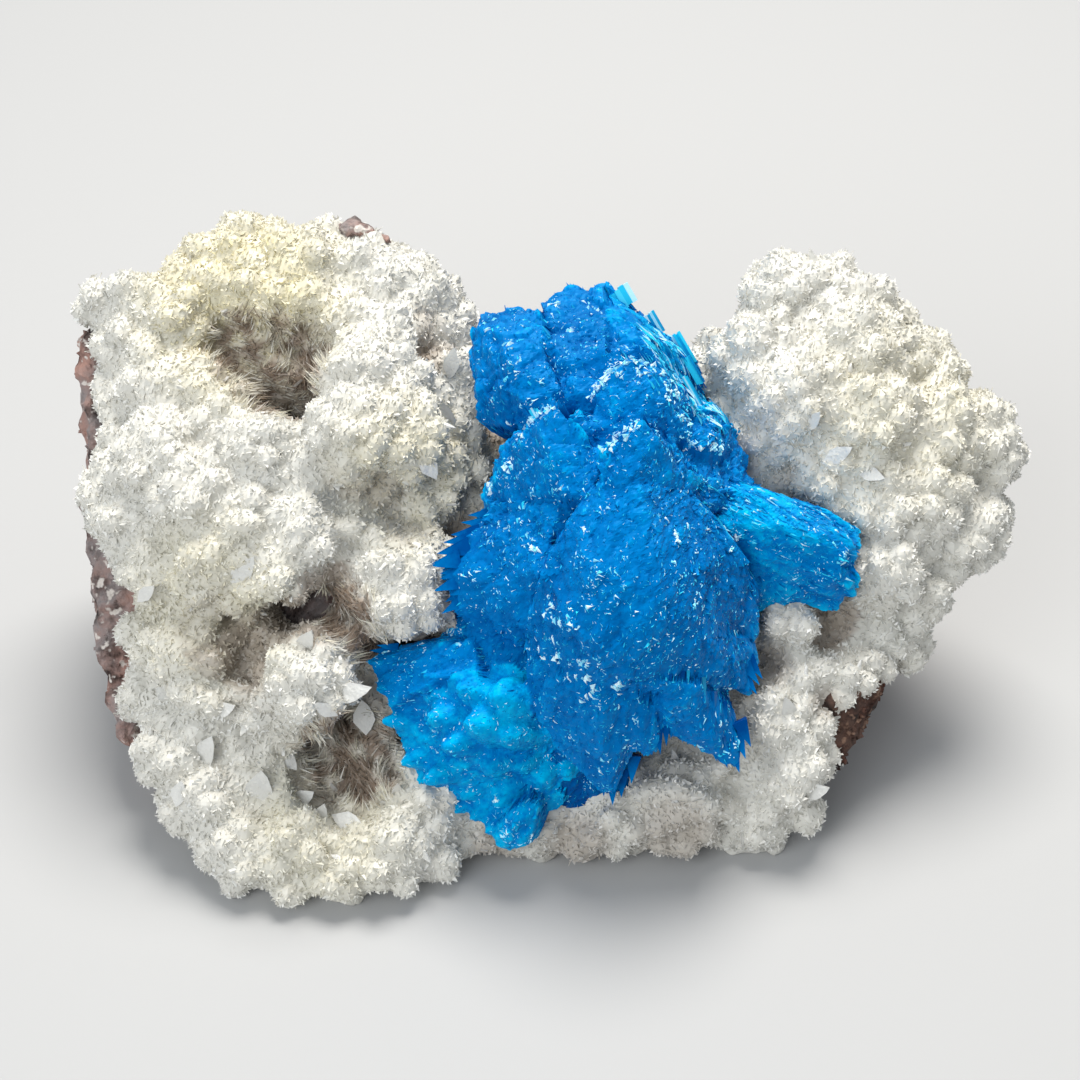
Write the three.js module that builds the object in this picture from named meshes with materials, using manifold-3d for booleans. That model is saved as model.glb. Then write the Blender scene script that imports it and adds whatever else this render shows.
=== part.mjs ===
// A cavansite specimen: blue crystal sprays on a druse of stilbite, grown on a broken piece of basalt.
// Millimetres, +Z up. It rests on its flat broken base at z = 0, and its display face looks towards -Y and up.
import * as THREE from "three";
import { ConvexGeometry } from "three/addons/geometries/ConvexGeometry.js";
import { ImprovedNoise } from "three/addons/math/ImprovedNoise.js";
import { mergeVertices } from "three/addons/utils/BufferGeometryUtils.js";
import Module from "manifold-3d";

const wasm = await Module();
wasm.setup();

// Driving dimensions, in millimetres and degrees
const faceElevation = 40; // how far the display face looks up from the horizon
const faceHeight = 24; // height of the display face's centre over the base
const contactGap = 0.3; // clearance where one mineral meets the next
const rockGrain = 0.9; // depth of the broken rock's roughness
const rockGrainLength = 5; // distance from one hump of that roughness to the next
const coreRadius = 3; // least radius of a lumpy body, where no mound lies over its core
const knobHeight = 0.8; // height of the knobs on its mounds
const knobLength = 1.7; // distance from one knob to the next
const tipRelief = 0.07; // how far a spray's crystals stand out past its hollows, as a share of its length
const spraySides = 8; // facets round a spray
const wideSpray = 25; // half angle from which a spray has a third ring of tips

const noise = new ImprovedNoise();

// The display face's own axes: across to the right, up the face, and out of it.
const face = new THREE.Matrix4()
  .makeRotationX(THREE.MathUtils.degToRad(90 - faceElevation))
  .setPosition(0, 0, faceHeight);
const onFace = ([across, up, out]) => new THREE.Vector3(across, up, out).applyMatrix4(face);

// Basalt blocks: the broken corners of each, in the part's frame [x, y, z].
const rockBlocks = {
  left: [
    [-45, 21, 33], [-44.3, 10, 22], [-43.5, 1, 16], [-42.5, -3.5, 10], [-39, -7, 4], [-33, -10, -2],
    [-10, -9, -2], [-9, -4, 12], [-12, 3, 22], [-38, 6, 24], [-40, 24, 35], [-26, 29, 37], [-12, 26, 34],
    [-43.5, 26, 24], [-38, 25, -2], [-6, 30, 24], [-6, 27, -2],
  ],
  middle: [
    [-14, -9, -2], [18, -9, -2], [-14, 2, 12], [20, 2, 10], [-12, 14, 20], [18, 14, 19],
    [-14, 24, 22], [20, 26, 20], [-12, 28, 6], [18, 26, -2], [-12, 27, -2],
  ],
  right: [
    [14, -6, 2], [21, -9, 3], [30, -5.5, 9.5], [35, 2, 14], [39, 8, 22], [41, 16, 24], [37, 22, 30],
    [29, 24, 34], [20, 25, 35], [15, 16, 28], [16, 5, 18], [12, 24, -2], [26, 22, 3], [36, 23, 16], [14, 28, 14],
  ],
};

// Stilbite druses on the display face: the mounds of each are [across, up, out, radius].
const druses = {
  left: {
    core: [-25, 0, -13],
    detail: 10,
    mounds: [
      [-42, 24, -8, 3.3], [-38, 24, -7, 3.5], [-40, 20, -7, 3.9], [-34.5, 22.5, -5, 3.5],
      [-31.5, 26, -9, 4.9], [-28, 26.5, -9, 6.2], [-23, 26, -7, 5.6], [-20, 28, -9, 4.5],
      [-16.5, 26, -8, 5.1], [-12.5, 24, -8, 4.6], [-10.5, 22.5, -9, 4.3], [-15, 21, -4, 3.7],
      [-19, 21.5, -5, 3.3],
      [-40.5, 15, -7, 3.6], [-35.5, 16, -4, 4.2], [-31.5, 17.5, -3, 3.5], [-30, 13, -3, 4.1],
      [-35, 9, -1, 4.6], [-37.5, 3.5, -3, 4.4], [-31, 5.5, 1, 4.7], [-35, -0.5, -2, 4.2],
      [-30, -0.5, 1, 4.3], [-25.5, 10, 1, 4.2], [-26, 3.5, 2, 4.1],
      [-17.5, 17, 0, 4.4], [-13.5, 16, -1, 3.8], [-17, 11.5, 2, 5], [-12.5, 11, 1, 4.2], [-22, 7, 1, 3.8],
      [-21, 2, 3, 3.4], [-23.5, -0.5, 3, 3.6], [-26.5, -2.5, 1, 2.9], [-13, -2.5, 2, 4.7],
      [-10.5, -1.5, 0, 3.8], [-17, -1.5, 0, 3.1], [-11.5, 5.5, -5, 4.5], [-9.5, 13, -10, 3.8],
      [-8.5, 20, -10, 3.4], [-7.5, 9, -9, 4.5], [-7, 3, -8, 4], [-17.5, 2.5, -1, 4.3], [-27, -7, -5, 4],
      [-32.5, -8.5, -1, 4.2], [-36.5, -7.5, -4, 3.5], [-30.5, -13, -2, 4], [-37, -13, -5, 3.5],
      [-21.5, -11, 2, 4.9], [-19.5, -8.5, 1, 3.4], [-24, -13.5, 0, 3.5], [-34, -17.5, -3, 4.4],
      [-31, -22, -2, 4.2], [-33.5, -22.5, -5, 3], [-26.5, -19.5, -3, 3.9], [-27.5, -26.5, -1, 4.2],
      [-22.5, -25.5, 0, 3.8], [-23, -29, 0, 2.8], [-18.5, -28.5, 0, 3.3], [-18, -23.5, -3, 2.8],
      [-14, -26.5, 0, 4], [-10.5, -22, -2, 4.2], [-10.5, -27, -2, 3.3], [-8.5, -24.5, -5, 3.3],
      [-13.5, -20, -7, 3.8], [-7, -26.5, -6, 1.9],
    ],
  },
  right: {
    core: [27, 3, -13],
    detail: 9,
    mounds: [
      [23, 25, -8, 4.5], [21.5, 24.5, -9, 3.4], [26, 25.5, -8, 3.8], [30, 23.2, -8, 4.2],
      [28.5, 19.5, -5, 5.1], [34, 19, -8, 4], [36, 18, -9, 3.8], [16, 20, -11, 2.6], [20, 18.5, -5, 4.6],
      [23.5, 14.5, -3, 5.5], [30, 13, -3, 5.3], [36, 12, -5, 4.8], [40.5, 12, -7, 4.2], [41.5, 10, -7, 3.7],
      [35, 5.5, -4, 4.6], [40.5, 3.5, -7, 3.9], [38, 1.5, -6, 3.7], [31, 5.5, -3, 4.4], [26.5, 7.5, -3, 3.7],
      [31.5, -0.5, -3, 4.1], [35.5, -3, -5, 2.6], [28.5, -3, -5, 3.3], [20, 12, -6, 4.7],
      [22.5, -5.5, -1, 2.9], [28.5, -7.5, -7, 3.8], [32, -7, -6, 2.6], [35, -5.5, -7, 2.3],
      [34, -8.5, -7, 2.3], [27, -11, -3, 3.3], [30, -10, -4, 2.2], [23.5, -11, -2, 3.3],
      [21, -14.5, -1, 3.5], [24.5, -16, -2, 2.8], [23, -19.5, -1, 3.3], [20, -19.5, -3, 2.8],
      [26, -18.5, -4, 2], [23.5, -23, -4, 2.4], [19.5, -23.5, -4, 3.3], [14, -22, 0, 2.7],
      [10.5, -21, 0, 2.2], [13.5, -25, -3, 2.4], [18, -26, -5, 2.2], [20.5, -26, -5, 2],
      [16.5, -19.5, -6, 3.4],
    ],
  },
  middle: {
    core: [6, -4, -16],
    detail: 6,
    mounds: [
      [-6, -4, -9, 6.6], [7, 10.5, -12, 8.6], [18.5, 5.5, -9, 6.6], [1.5, 16, -15, 6], [9, -6, -10, 8.6],
      [18.5, -7.5, -8, 5.7], [1.5, -19, -9, 5.7], [11, -15, -8, 5.7], [-4, -13.5, -9, 5.7],
      [-5, -23, -4, 4.6], [3, -23.5, -3.5, 4.6], [10, -22.5, -4, 4.6], [-1, -24.5, -2, 3.6], [6.5, -24, -2, 3.6],
    ],
  },
};

// The cavansite cluster's core, as balls [across, up, out, radius] on the display face.
const coreBalls = [
  [7, 1, -3, 7.5], [9, 11, -5, 5.5], [-1.5, -11, -4, 5], [6, -7, -1, 6], [1.5, -17, -5, 4.5],
];

// Cavansite sprays: each fans out from its root to the middle of its tips, both [across, up, out] on the
// display face. wide and deep are its half angles in degrees along the face and out of it, and pointed is how
// much shorter its outermost crystals are, as a share of its length.
const sprays = {
  topDome: { root: [4, 12, -9], tip: [1.5, 19, 6], wide: 36, deep: 34, pointed: 0.05 },
  topLeft: { root: [4.5, 12, -8], tip: [-3, 19, 1], wide: 30, deep: 30, pointed: 0.05 },
  topCrown: { root: [6.5, 12, -10], tip: [4.5, 23, -1], wide: 30, deep: 24, pointed: 0.05 },
  topFlank: { root: [16, 10.5, -6], tip: [7.8, 23, -4], wide: 10, deep: 20, pointed: 0.05 },
  topFlankLow: { root: [16, 10, -4], tip: [11, 19.5, -1], wide: 16, deep: 18, pointed: 0.05 },
  mound: { root: [12, 10, -5], tip: [8.5, 15, 7], wide: 28, deep: 26, pointed: 0.05 },
  leftRidge: { root: [6, 3, -3], tip: [-1.5, 10.5, 8], wide: 26, deep: 20, pointed: 0.15 },
  leftShoulder: { root: [4, 2, -5], tip: [-4, 7, 3], wide: 26, deep: 26, pointed: 0.1 },
  crest: { root: [11, 2, -2], tip: [8, 10.5, 9.5], wide: 24, deep: 18, pointed: 0.15 },
  shoulder: { root: [12, 4, -3], tip: [14, 9.5, 5], wide: 36, deep: 32, pointed: 0.1 },
  rightFan: { root: [11.5, 10.5, -4], tip: [26.8, -1.2, 3], wide: 12, deep: 15, pointed: 0.02 },
  rosette: { root: [7, 1.5, -5], tip: [5.5, -2.5, 13.5], wide: 40, deep: 38, pointed: 0.1 },
  rosetteLow: { root: [6, -2, -1], tip: [4.5, -13, 9.5], wide: 40, deep: 26, pointed: 0.15 },
  rosetteLeft: { root: [6, 2, -3], tip: [-9.2, -1.7, 4], wide: 19, deep: 30, pointed: 0.08 },
  rosetteLeftLow: { root: [5, 0, -2], tip: [-5, -7, 6], wide: 26, deep: 30, pointed: 0.1 },
  rosetteRight: { root: [9, 2, -3], tip: [18.5, -3.5, 5], wide: 26, deep: 34, pointed: 0.1 },
  rosetteRightLow: { root: [9, 0, -3], tip: [17, -10.5, 5], wide: 24, deep: 28, pointed: 0.12 },
  petalLeft: { root: [2, -3, 1], tip: [5.5, -21, 5], wide: 25, deep: 16, pointed: 0.4 },
  petalMiddle: { root: [7, -2.5, 2], tip: [9.5, -17, 7], wide: 24, deep: 14, pointed: 0.35 },
  petalRight: { root: [11, -1.5, 0], tip: [16.5, -18, 5], wide: 21, deep: 16, pointed: 0.35 },
  lowerWedge: { root: [-1, -8, -3], tip: [-16, -9.8, 2], wide: 12, deep: 18, pointed: 0.1 },
  lowerDome: { root: [-1, -11, -6], tip: [-10.5, -14, 4], wide: 32, deep: 30, pointed: 0.05 },
  lowerFan: { root: [-0.5, -13, -6], tip: [-9.5, -19.5, 3], wide: 24, deep: 26, pointed: 0.08 },
  lowerTip: { root: [0, -15, -6], tip: [-3.5, -26, 1], wide: 22, deep: 24, pointed: 0.1 },
  lowerRoot: { root: [1.5, -12, -8], tip: [5, -22.5, -3], wide: 24, deep: 24, pointed: 0.1 },
};

const manifoldOf = (geometry) => {
  const bare = geometry.clone();
  bare.deleteAttribute("normal");
  bare.deleteAttribute("uv");
  const merged = mergeVertices(bare, 1e-3);
  const vertProperties = merged.attributes.position.array;
  return new wasm.Manifold(
    new wasm.Mesh({ numProp: 3, vertProperties, triVerts: new Uint32Array(merged.index.array) }),
  );
};

const geometryOf = (solid) => {
  const { numProp, vertProperties, triVerts } = solid.getMesh();
  return new THREE.BufferGeometry()
    .setAttribute("position", new THREE.BufferAttribute(new Float32Array(vertProperties), numProp))
    .setIndex(new THREE.BufferAttribute(new Uint32Array(triVerts), 1));
};

const join = (solids) => solids.reduce((sum, solid) => sum.add(solid));

// The largest of the bodies that a cut leaves, without crumbs and sealed voids.
const mainBody = (solid) => solid.decompose().reduce((most, body) => (body.volume() > most.volume() ? body : most));

// Moves each vertex of a geometry with a function of its place and number.
const reshape = (geometry, move) => {
  const places = geometry.attributes.position;
  const point = new THREE.Vector3();
  for (let i = 0; i < places.count; i++) {
    move(point.fromBufferAttribute(places, i), i);
    places.setXYZ(i, point.x, point.y, point.z);
  }
  return geometry;
};

const relief = (point, wavelength) =>
  noise.noise(point.x / wavelength, point.y / wavelength, point.z / wavelength);

// The flat faces of the hull round some corners.
const hullPlanes = (corners) => {
  const places = new ConvexGeometry(corners).attributes.position;
  const corner = (i) => new THREE.Vector3().fromBufferAttribute(places, i);
  const firsts = Array.from({ length: places.count / 3 }, (_, i) => 3 * i);
  return firsts.map((i) => new THREE.Plane().setFromCoplanarPoints(corner(i), corner(i + 1), corner(i + 2)));
};

// A broken block: a ball drawn out to the hull's faces and roughened, all round larger by swell.
const brokenBlock = (rows, swell) => {
  const corners = rows.map((row) => new THREE.Vector3(...row));
  const centre = corners.reduce((sum, corner) => sum.add(corner), new THREE.Vector3()).divideScalar(rows.length);
  const planes = hullPlanes(corners.map((corner) => corner.clone().sub(centre)));
  const reach = (heading) =>
    planes
      .filter((plane) => plane.normal.dot(heading) > 1e-3)
      .reduce((least, plane) => Math.min(least, (swell - plane.constant) / plane.normal.dot(heading)), Infinity);
  return reshape(new THREE.IcosahedronGeometry(1, 4), (point) => {
    const heading = point.clone().normalize();
    point.copy(heading).multiplyScalar(reach(heading));
    const bump = rockGrain * (relief(point, rockGrainLength) + relief(point, 2.3 * rockGrainLength));
    point.addScaledVector(heading, bump).add(centre);
  });
};

// A lumpy body: a ball drawn out from its core to the farthest of the mounds that each direction meets.
const lumpyBody = (core, rows, detail) => {
  const start = onFace(core);
  const balls = rows.map((row) => new THREE.Sphere(onFace(row), row[3]));
  const reach = (heading, ball) => {
    const along = ball.center.clone().sub(start).dot(heading);
    const aside = ball.center.distanceToSquared(start) - along ** 2;
    return aside < ball.radius ** 2 ? along + Math.sqrt(ball.radius ** 2 - aside) : 0;
  };
  return reshape(new THREE.IcosahedronGeometry(1, detail), (point) => {
    const heading = point.clone().normalize();
    const farthest = balls.reduce((most, ball) => Math.max(most, reach(heading, ball)), coreRadius);
    point.copy(heading).multiplyScalar(farthest).add(start);
    point.addScaledVector(heading, knobHeight * relief(point, knobLength));
  });
};

// A fan of crystals: a cone turned about its axis, its cap and flanks notched between neighbouring crystals,
// all round larger by swell.
const spray = ({ root, tip, wide, deep, pointed }, swell) => {
  const start = onFace(root);
  const axis = onFace(tip).sub(start);
  const length = axis.length();
  const rim = THREE.MathUtils.degToRad(wide);
  const capSteps = wide > wideSpray ? 3 : 2;
  const profile = [new THREE.Vector2(0, -0.04 * length)];
  for (const share of [0.5]) {
    const reach = share * length * (1 - pointed);
    profile.push(new THREE.Vector2(reach * Math.sin(rim), reach * Math.cos(rim)));
  }
  for (let step = capSteps; step >= 0; step--) {
    const angle = (rim * step) / capSteps;
    const reach = length * (1 - pointed * (step / capSteps));
    profile.push(new THREE.Vector2(step ? reach * Math.sin(angle) : 0, reach * Math.cos(angle)));
  }
  const fan = new THREE.LatheGeometry(profile, spraySides);
  const flatness = Math.tan(THREE.MathUtils.degToRad(deep)) / Math.tan(rim);
  const across = new THREE.Vector3().crossVectors(axis, new THREE.Vector3(0, 0, 1).transformDirection(face));
  const frame = new THREE.Matrix4().makeBasis(
    across.normalize(),
    axis.clone().normalize(),
    new THREE.Vector3().crossVectors(across, axis).normalize(),
  );
  return reshape(fan, (point, i) => {
    const side = Math.floor(i / profile.length);
    const row = i % profile.length;
    const notched = point.x ** 2 + point.z ** 2 > 1e-6 && (side + row) % 2 === 1;
    const swollen = point.length() > 0 ? 1 + swell / point.length() : 1;
    point.multiplyScalar(swollen * (notched ? 1 - tipRelief : 1));
    point.z *= flatness;
    point.applyMatrix4(frame).add(start);
  });
};

const basaltSolid = (swell) => join(Object.values(rockBlocks).map((rows) => manifoldOf(brokenBlock(rows, swell))));
const crustSolid = () =>
  join(Object.values(druses).map(({ core, mounds, detail }) => manifoldOf(lumpyBody(core, mounds, detail))));
const cavansiteSolid = (swell) =>
  join([
    ...coreBalls.map(([across, up, out, radius]) =>
      manifoldOf(new THREE.IcosahedronGeometry(radius + swell, 1).translate(...onFace([across, up, out]))),
    ),
    ...Object.values(sprays).map((row) => manifoldOf(spray(row, swell))),
  ]);
const aboveBase = manifoldOf(new THREE.BoxGeometry(200, 200, 100).translate(0, 0, 50));

const basalt = mainBody(basaltSolid(0).intersect(aboveBase));
const cavansite = mainBody(cavansiteSolid(0));
const crust = mainBody(
  crustSolid().subtract(basaltSolid(contactGap)).subtract(cavansiteSolid(3 * contactGap)).intersect(aboveBase),
);

const mineral = (name, solid, color, roughness) => {
  const material = new THREE.MeshStandardMaterial({ color, roughness, metalness: 0, flatShading: true });
  const mesh = new THREE.Mesh(geometryOf(solid), material);
  mesh.name = name;
  return mesh;
};

const specimen = new THREE.Group();
specimen.add(
  mineral("basalt_host_rock", basalt, 0x6b5049, 0.9),
  mineral("stilbite_crust", crust, 0xe6e4da, 0.45),
  mineral("cavansite_cluster", cavansite, 0x0f78cf, 0.35),
);

// The origin is under the middle of the specimen's box.
const extent = new THREE.Box3().setFromObject(specimen, true);
const middle = extent.getCenter(new THREE.Vector3());
specimen.position.set(-middle.x, -middle.y, -extent.min.z);

export default specimen;
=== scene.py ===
import math

import bmesh
import bpy
import numpy as np
from mathutils import Matrix, Vector, kdtree
from mathutils.bvhtree import BVHTree


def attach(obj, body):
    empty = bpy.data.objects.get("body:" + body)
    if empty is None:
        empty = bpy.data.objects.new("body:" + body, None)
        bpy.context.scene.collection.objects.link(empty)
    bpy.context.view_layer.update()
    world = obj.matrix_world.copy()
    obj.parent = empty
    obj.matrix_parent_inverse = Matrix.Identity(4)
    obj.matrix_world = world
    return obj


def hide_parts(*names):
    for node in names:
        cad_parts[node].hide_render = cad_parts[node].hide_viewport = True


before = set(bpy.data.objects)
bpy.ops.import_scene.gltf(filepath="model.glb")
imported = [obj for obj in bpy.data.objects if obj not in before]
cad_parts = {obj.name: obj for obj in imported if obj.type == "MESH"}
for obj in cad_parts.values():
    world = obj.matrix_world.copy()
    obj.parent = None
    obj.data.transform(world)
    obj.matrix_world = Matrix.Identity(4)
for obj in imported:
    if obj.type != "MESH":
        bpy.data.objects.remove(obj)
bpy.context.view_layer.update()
print("frame loaded:", sorted(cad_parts))

mm = 0.001
scene = bpy.context.scene
chance = np.random.default_rng(7)

# The display face's axes: across to the right, up the face and out of it, from its centre.
faceElevation = math.radians(40)
faceCentre = np.array([-0.12, -4.19, 24.0])
faceAxes = np.array([
    [1, 0, 0],
    [0, math.sin(faceElevation), math.cos(faceElevation)],
    [0, -math.cos(faceElevation), math.sin(faceElevation)],
])


def fromFace(places):    # face millimetres to metres in the part's frame
    return (faceCentre + np.asarray(places, float) @ faceAxes) * mm


def toFace(places):      # metres in the part's frame to face millimetres
    return (places / mm - faceCentre) @ faceAxes.T


def unit(vectors):
    return vectors / np.maximum(np.linalg.norm(vectors, axis=-1, keepdims=True), 1e-12)


def vectorsOf(items, key):
    values = np.empty(len(items) * 3, np.float32)
    items.foreach_get(key, values)
    return values.reshape(-1, 3).astype(float)


def placesOf(mesh):
    return vectorsOf(mesh.vertices, "co")


def normalsOf(mesh):
    return vectorsOf(mesh.vertex_normals, "vector")


def trianglesOf(mesh):   # the vertex numbers at each triangle's corners
    mesh.calc_loop_triangles()
    corners = np.empty(len(mesh.loop_triangles) * 3, np.int32)
    mesh.loop_triangles.foreach_get("vertices", corners)
    return corners.reshape(-1, 3)


def movePlaces(mesh, places):
    mesh.vertices.foreach_set("co", places.astype(np.float32).ravel())
    mesh.update()


def keepAbove(mesh, lowest):
    places = placesOf(mesh)
    places[:, 2] = places[:, 2].clip(lowest, None)
    movePlaces(mesh, places)


def meshOfBm(bm, name):
    mesh = bpy.data.meshes.new(name)
    bm.to_mesh(mesh)
    bm.free()
    return mesh


def cadCopy(node):       # a merged copy of a CAD node's loose triangles
    bm = bmesh.new()
    bm.from_mesh(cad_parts[node].data)
    bmesh.ops.remove_doubles(bm, verts=bm.verts, dist=1e-6)
    return meshOfBm(bm, node + "_copy")


def reworked(mesh, steps):     # the mesh after a stack of modifiers, each (type, {setting: value})
    piece = bpy.data.objects.new("reworked", mesh)
    scene.collection.objects.link(piece)
    for kind, settings in steps:
        modifier = piece.modifiers.new(kind, kind)
        for key, value in settings.items():
            setattr(modifier, key, value)
    depsgraph = bpy.context.evaluated_depsgraph_get()
    result = bpy.data.meshes.new_from_object(piece.evaluated_get(depsgraph))
    bpy.data.objects.remove(piece)
    return result


def voxels(size):        # this and the next two are steps for reworked
    return "REMESH", {"mode": "VOXEL", "voxel_size": size}


def smoothed(times):
    return "SMOOTH", {"factor": 0.5, "iterations": times}


def displaced(strength, middle=0.0, texture=None):
    return "DISPLACE", {"texture": texture, "strength": strength, "mid_level": middle}


def cloudTexture(name, size, depth):
    texture = bpy.data.textures.new(name, "CLOUDS")
    texture.noise_scale = size
    texture.noise_depth = depth
    return texture


def cellTexture(name, size):
    texture = bpy.data.textures.new(name, "VORONOI")
    texture.noise_scale = size
    return texture


def ballsOf(name, rows):       # balls about places on the display face, (across, up, out, radius)
    bm = bmesh.new()
    for *centre, radius in rows:
        spot = Matrix.Translation(Vector(fromFace(centre)))
        bmesh.ops.create_icosphere(bm, subdivisions=3, radius=radius * mm, matrix=spot)
    return meshOfBm(bm, name)


def treeOf(mesh):
    return BVHTree.FromPolygons(placesOf(mesh).tolist(), trianglesOf(mesh).tolist())


wellOut = 40             # millimetres out of the face, above all that stands on it


def castAt(tree, start):       # where a ray from a face place, straight into the face, meets the tree
    return tree.ray_cast(Vector(fromFace(start)), Vector(-faceAxes[2]))


def finderOf(spots):
    finder = kdtree.KDTree(len(spots))
    for index, spot in enumerate(spots.tolist()):
        finder.insert(spot, index)
    finder.balance()
    return finder


def nearestOf(sites, places):  # the number of the site nearest to each place, and how far away it is
    finder = finderOf(sites)
    found = [finder.find(place) for place in places.tolist()]
    return [index for spot, index, distance in found], np.array([distance for spot, index, distance in found])


# How free each vertex of a mesh stands: 1 in the open, 0 where one of the blockers lies within reach of it.
def openness(mesh, blockers, reach):
    places, normals = placesOf(mesh), normalsOf(mesh)
    free = np.ones(len(places))
    for index, (place, normal) in enumerate(zip(places.tolist(), normals.tolist())):
        spot, heading = Vector(place), Vector(normal)
        for tree in blockers:
            if tree.ray_cast(spot + heading * 0.02 * mm, heading, reach)[0] is not None:
                free[index] = 0
                break
    return free


# Points spread evenly over a mesh's faces: places, normals and the vertex that each lies nearest to.
def spreadOver(mesh, wanted, weights):
    corners, places, normals = trianglesOf(mesh), placesOf(mesh), normalsOf(mesh)
    a, b, c = (places[corners[:, i]] for i in range(3))
    area = 0.5 * np.linalg.norm(np.cross(b - a, c - a), axis=1) * weights[corners].mean(1)
    steps = (np.arange(wanted) + chance.random(wanted)) / wanted     # one point in each share of the area
    picked = np.searchsorted(np.cumsum(area) / area.sum(), steps).clip(0, len(corners) - 1)
    s, t = np.sqrt(chance.random(wanted)), chance.random(wanted)
    shares = np.stack([1 - s, s * (1 - t), s * t], 1)
    own = corners[picked]
    found = (places[own] * shares[:, :, None]).sum(1)
    facing = unit((normals[own] * shares[:, :, None]).sum(1))
    return found, facing, own[np.arange(wanted), shares.argmax(1)]


# Axes for crystals that stand along the given headings, each turned about its heading by chance.
def axesAlong(headings):
    aside = unit(np.cross(headings, unit(chance.normal(size=headings.shape))))
    return np.stack([aside, np.cross(headings, aside), headings], 1)


def leaned(headings, spread):  # the headings, each leaned over by about spread degrees
    return unit(headings + np.tan(np.radians(spread)) * chance.normal(size=headings.shape) / math.sqrt(2))


def hullOf(corners):     # a closed hull round some corners
    bm = bmesh.new()
    for corner in corners:
        bm.verts.new(corner)
    hull = bmesh.ops.convex_hull(bm, input=bm.verts)
    inner = [v for v in {*hull["geom_interior"], *hull["geom_unused"]} if isinstance(v, bmesh.types.BMVert)]
    bmesh.ops.delete(bm, geom=inner, context="VERTS")
    bmesh.ops.recalc_face_normals(bm, faces=bm.faces)
    return bm


def templateOf(bm):      # a shape's vertices and its faces as corner lists
    bm.verts.ensure_lookup_table()
    places = np.array([v.co for v in bm.verts])
    faces = [[v.index for v in f.verts] for f in bm.faces]
    bm.free()
    return places, faces


# One mesh of many copies of a template: places (n, 3), axes (n, 3, 3), sizes (n, 3), values per copy.
def copiesOf(name, template, places, axes, sizes, values):
    shape, faces = template
    count, corners = len(places), len(shape)
    spots = places[:, None] + np.einsum("nvi,nij->nvj", shape[None] * sizes[:, None], axes)
    loops = np.concatenate([np.array(f) for f in faces])
    totals = np.array([len(f) for f in faces])
    starts = np.concatenate([[0], np.cumsum(totals)[:-1]])
    mesh = bpy.data.meshes.new(name)
    mesh.vertices.add(count * corners)
    mesh.loops.add(count * len(loops))
    mesh.polygons.add(count * len(faces))
    mesh.vertices.foreach_set("co", spots.astype(np.float32).ravel())
    shift = np.arange(count)[:, None]
    mesh.loops.foreach_set("vertex_index", (loops[None] + corners * shift).astype(np.int32).ravel())
    mesh.polygons.foreach_set("loop_start", (starts[None] + len(loops) * shift).astype(np.int32).ravel())
    mesh.update(calc_edges=True)
    mesh.shade_flat()
    reach = (shape[:, 2] - shape[:, 2].min()) / np.ptp(shape[:, 2])
    paint(mesh, "reach", np.tile(reach, count))
    for key, value in values.items():
        paint(mesh, key, np.repeat(value, corners))
    return mesh


def paint(mesh, name, values):
    attribute = mesh.attributes.new(name, "FLOAT", "POINT")
    attribute.data.foreach_set("value", np.asarray(values, np.float32))


def joined(name, parts):
    bm = bmesh.new()
    for part in parts:
        bm.from_mesh(part)
    return meshOfBm(bm, name)


def addPiece(name, mesh, material, node):
    mesh.materials.clear()
    mesh.materials.append(material)
    mesh.name = name
    piece = bpy.data.objects.new(name, mesh)
    scene.collection.objects.link(piece)
    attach(piece, "root")
    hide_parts(node)
    print(name, sum(len(p.vertices) - 2 for p in mesh.polygons), "triangles")


def newGroup(name, inputs, outputs):
    group = bpy.data.node_groups.new(name, "ShaderNodeTree")
    for socket, kind, value in inputs:
        item = group.interface.new_socket(socket, in_out="INPUT", socket_type=kind)
        item.default_value = value
    for socket, kind in outputs:
        group.interface.new_socket(socket, in_out="OUTPUT", socket_type=kind)
    return group


def wire(tree, kind, settings=None, **inputs):    # a node, its settings, and its inputs as values or links
    node = tree.nodes.new(kind)
    for key, value in (settings or {}).items():
        setattr(node, key, value)
    for key, value in inputs.items():
        socket = node.inputs[int(key[1:])] if key[0] == "i" and key[1:].isdigit() else node.inputs[key]
        if isinstance(value, bpy.types.NodeSocket):
            tree.links.new(value, socket)
        else:
            socket.default_value = value
    return node


def ramp(tree, factor, stops):
    node = tree.nodes.new("ShaderNodeValToRGB")
    tree.links.new(factor, node.inputs[0])
    elements = node.color_ramp.elements
    while len(elements) < len(stops):
        elements.new(0.5)
    for element, (position, color) in zip(elements, stops):
        element.position = position
        element.color = (*color, 1)
    return node.outputs[0]


def mixed(tree, factor, first, second, blend="MIX"):      # two colours, each a socket or red, green and blue
    first, second = ((*color, 1) if isinstance(color, tuple) else color for color in (first, second))
    return wire(tree, "ShaderNodeMix", {"data_type": "RGBA", "blend_type": blend},
                i0=factor, i6=first, i7=second).outputs[2]


def worked(tree, operation, *values, clamp=False):     # the result of one sum
    inputs = {f"i{place}": value for place, value in enumerate(values)}
    return wire(tree, "ShaderNodeMath", {"operation": operation, "use_clamp": clamp}, **inputs).outputs[0]


def valuesOf(tree, *names):    # the piece's own point attributes
    return [wire(tree, "ShaderNodeAttribute", {"attribute_name": name}).outputs["Fac"] for name in names]


def noiseAt(tree, where, scale, detail, roughness):
    settings = {"Vector": where, "Scale": scale, "Detail": detail, "Roughness": roughness}
    return wire(tree, "ShaderNodeTexNoise", **settings).outputs["Fac"]


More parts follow.
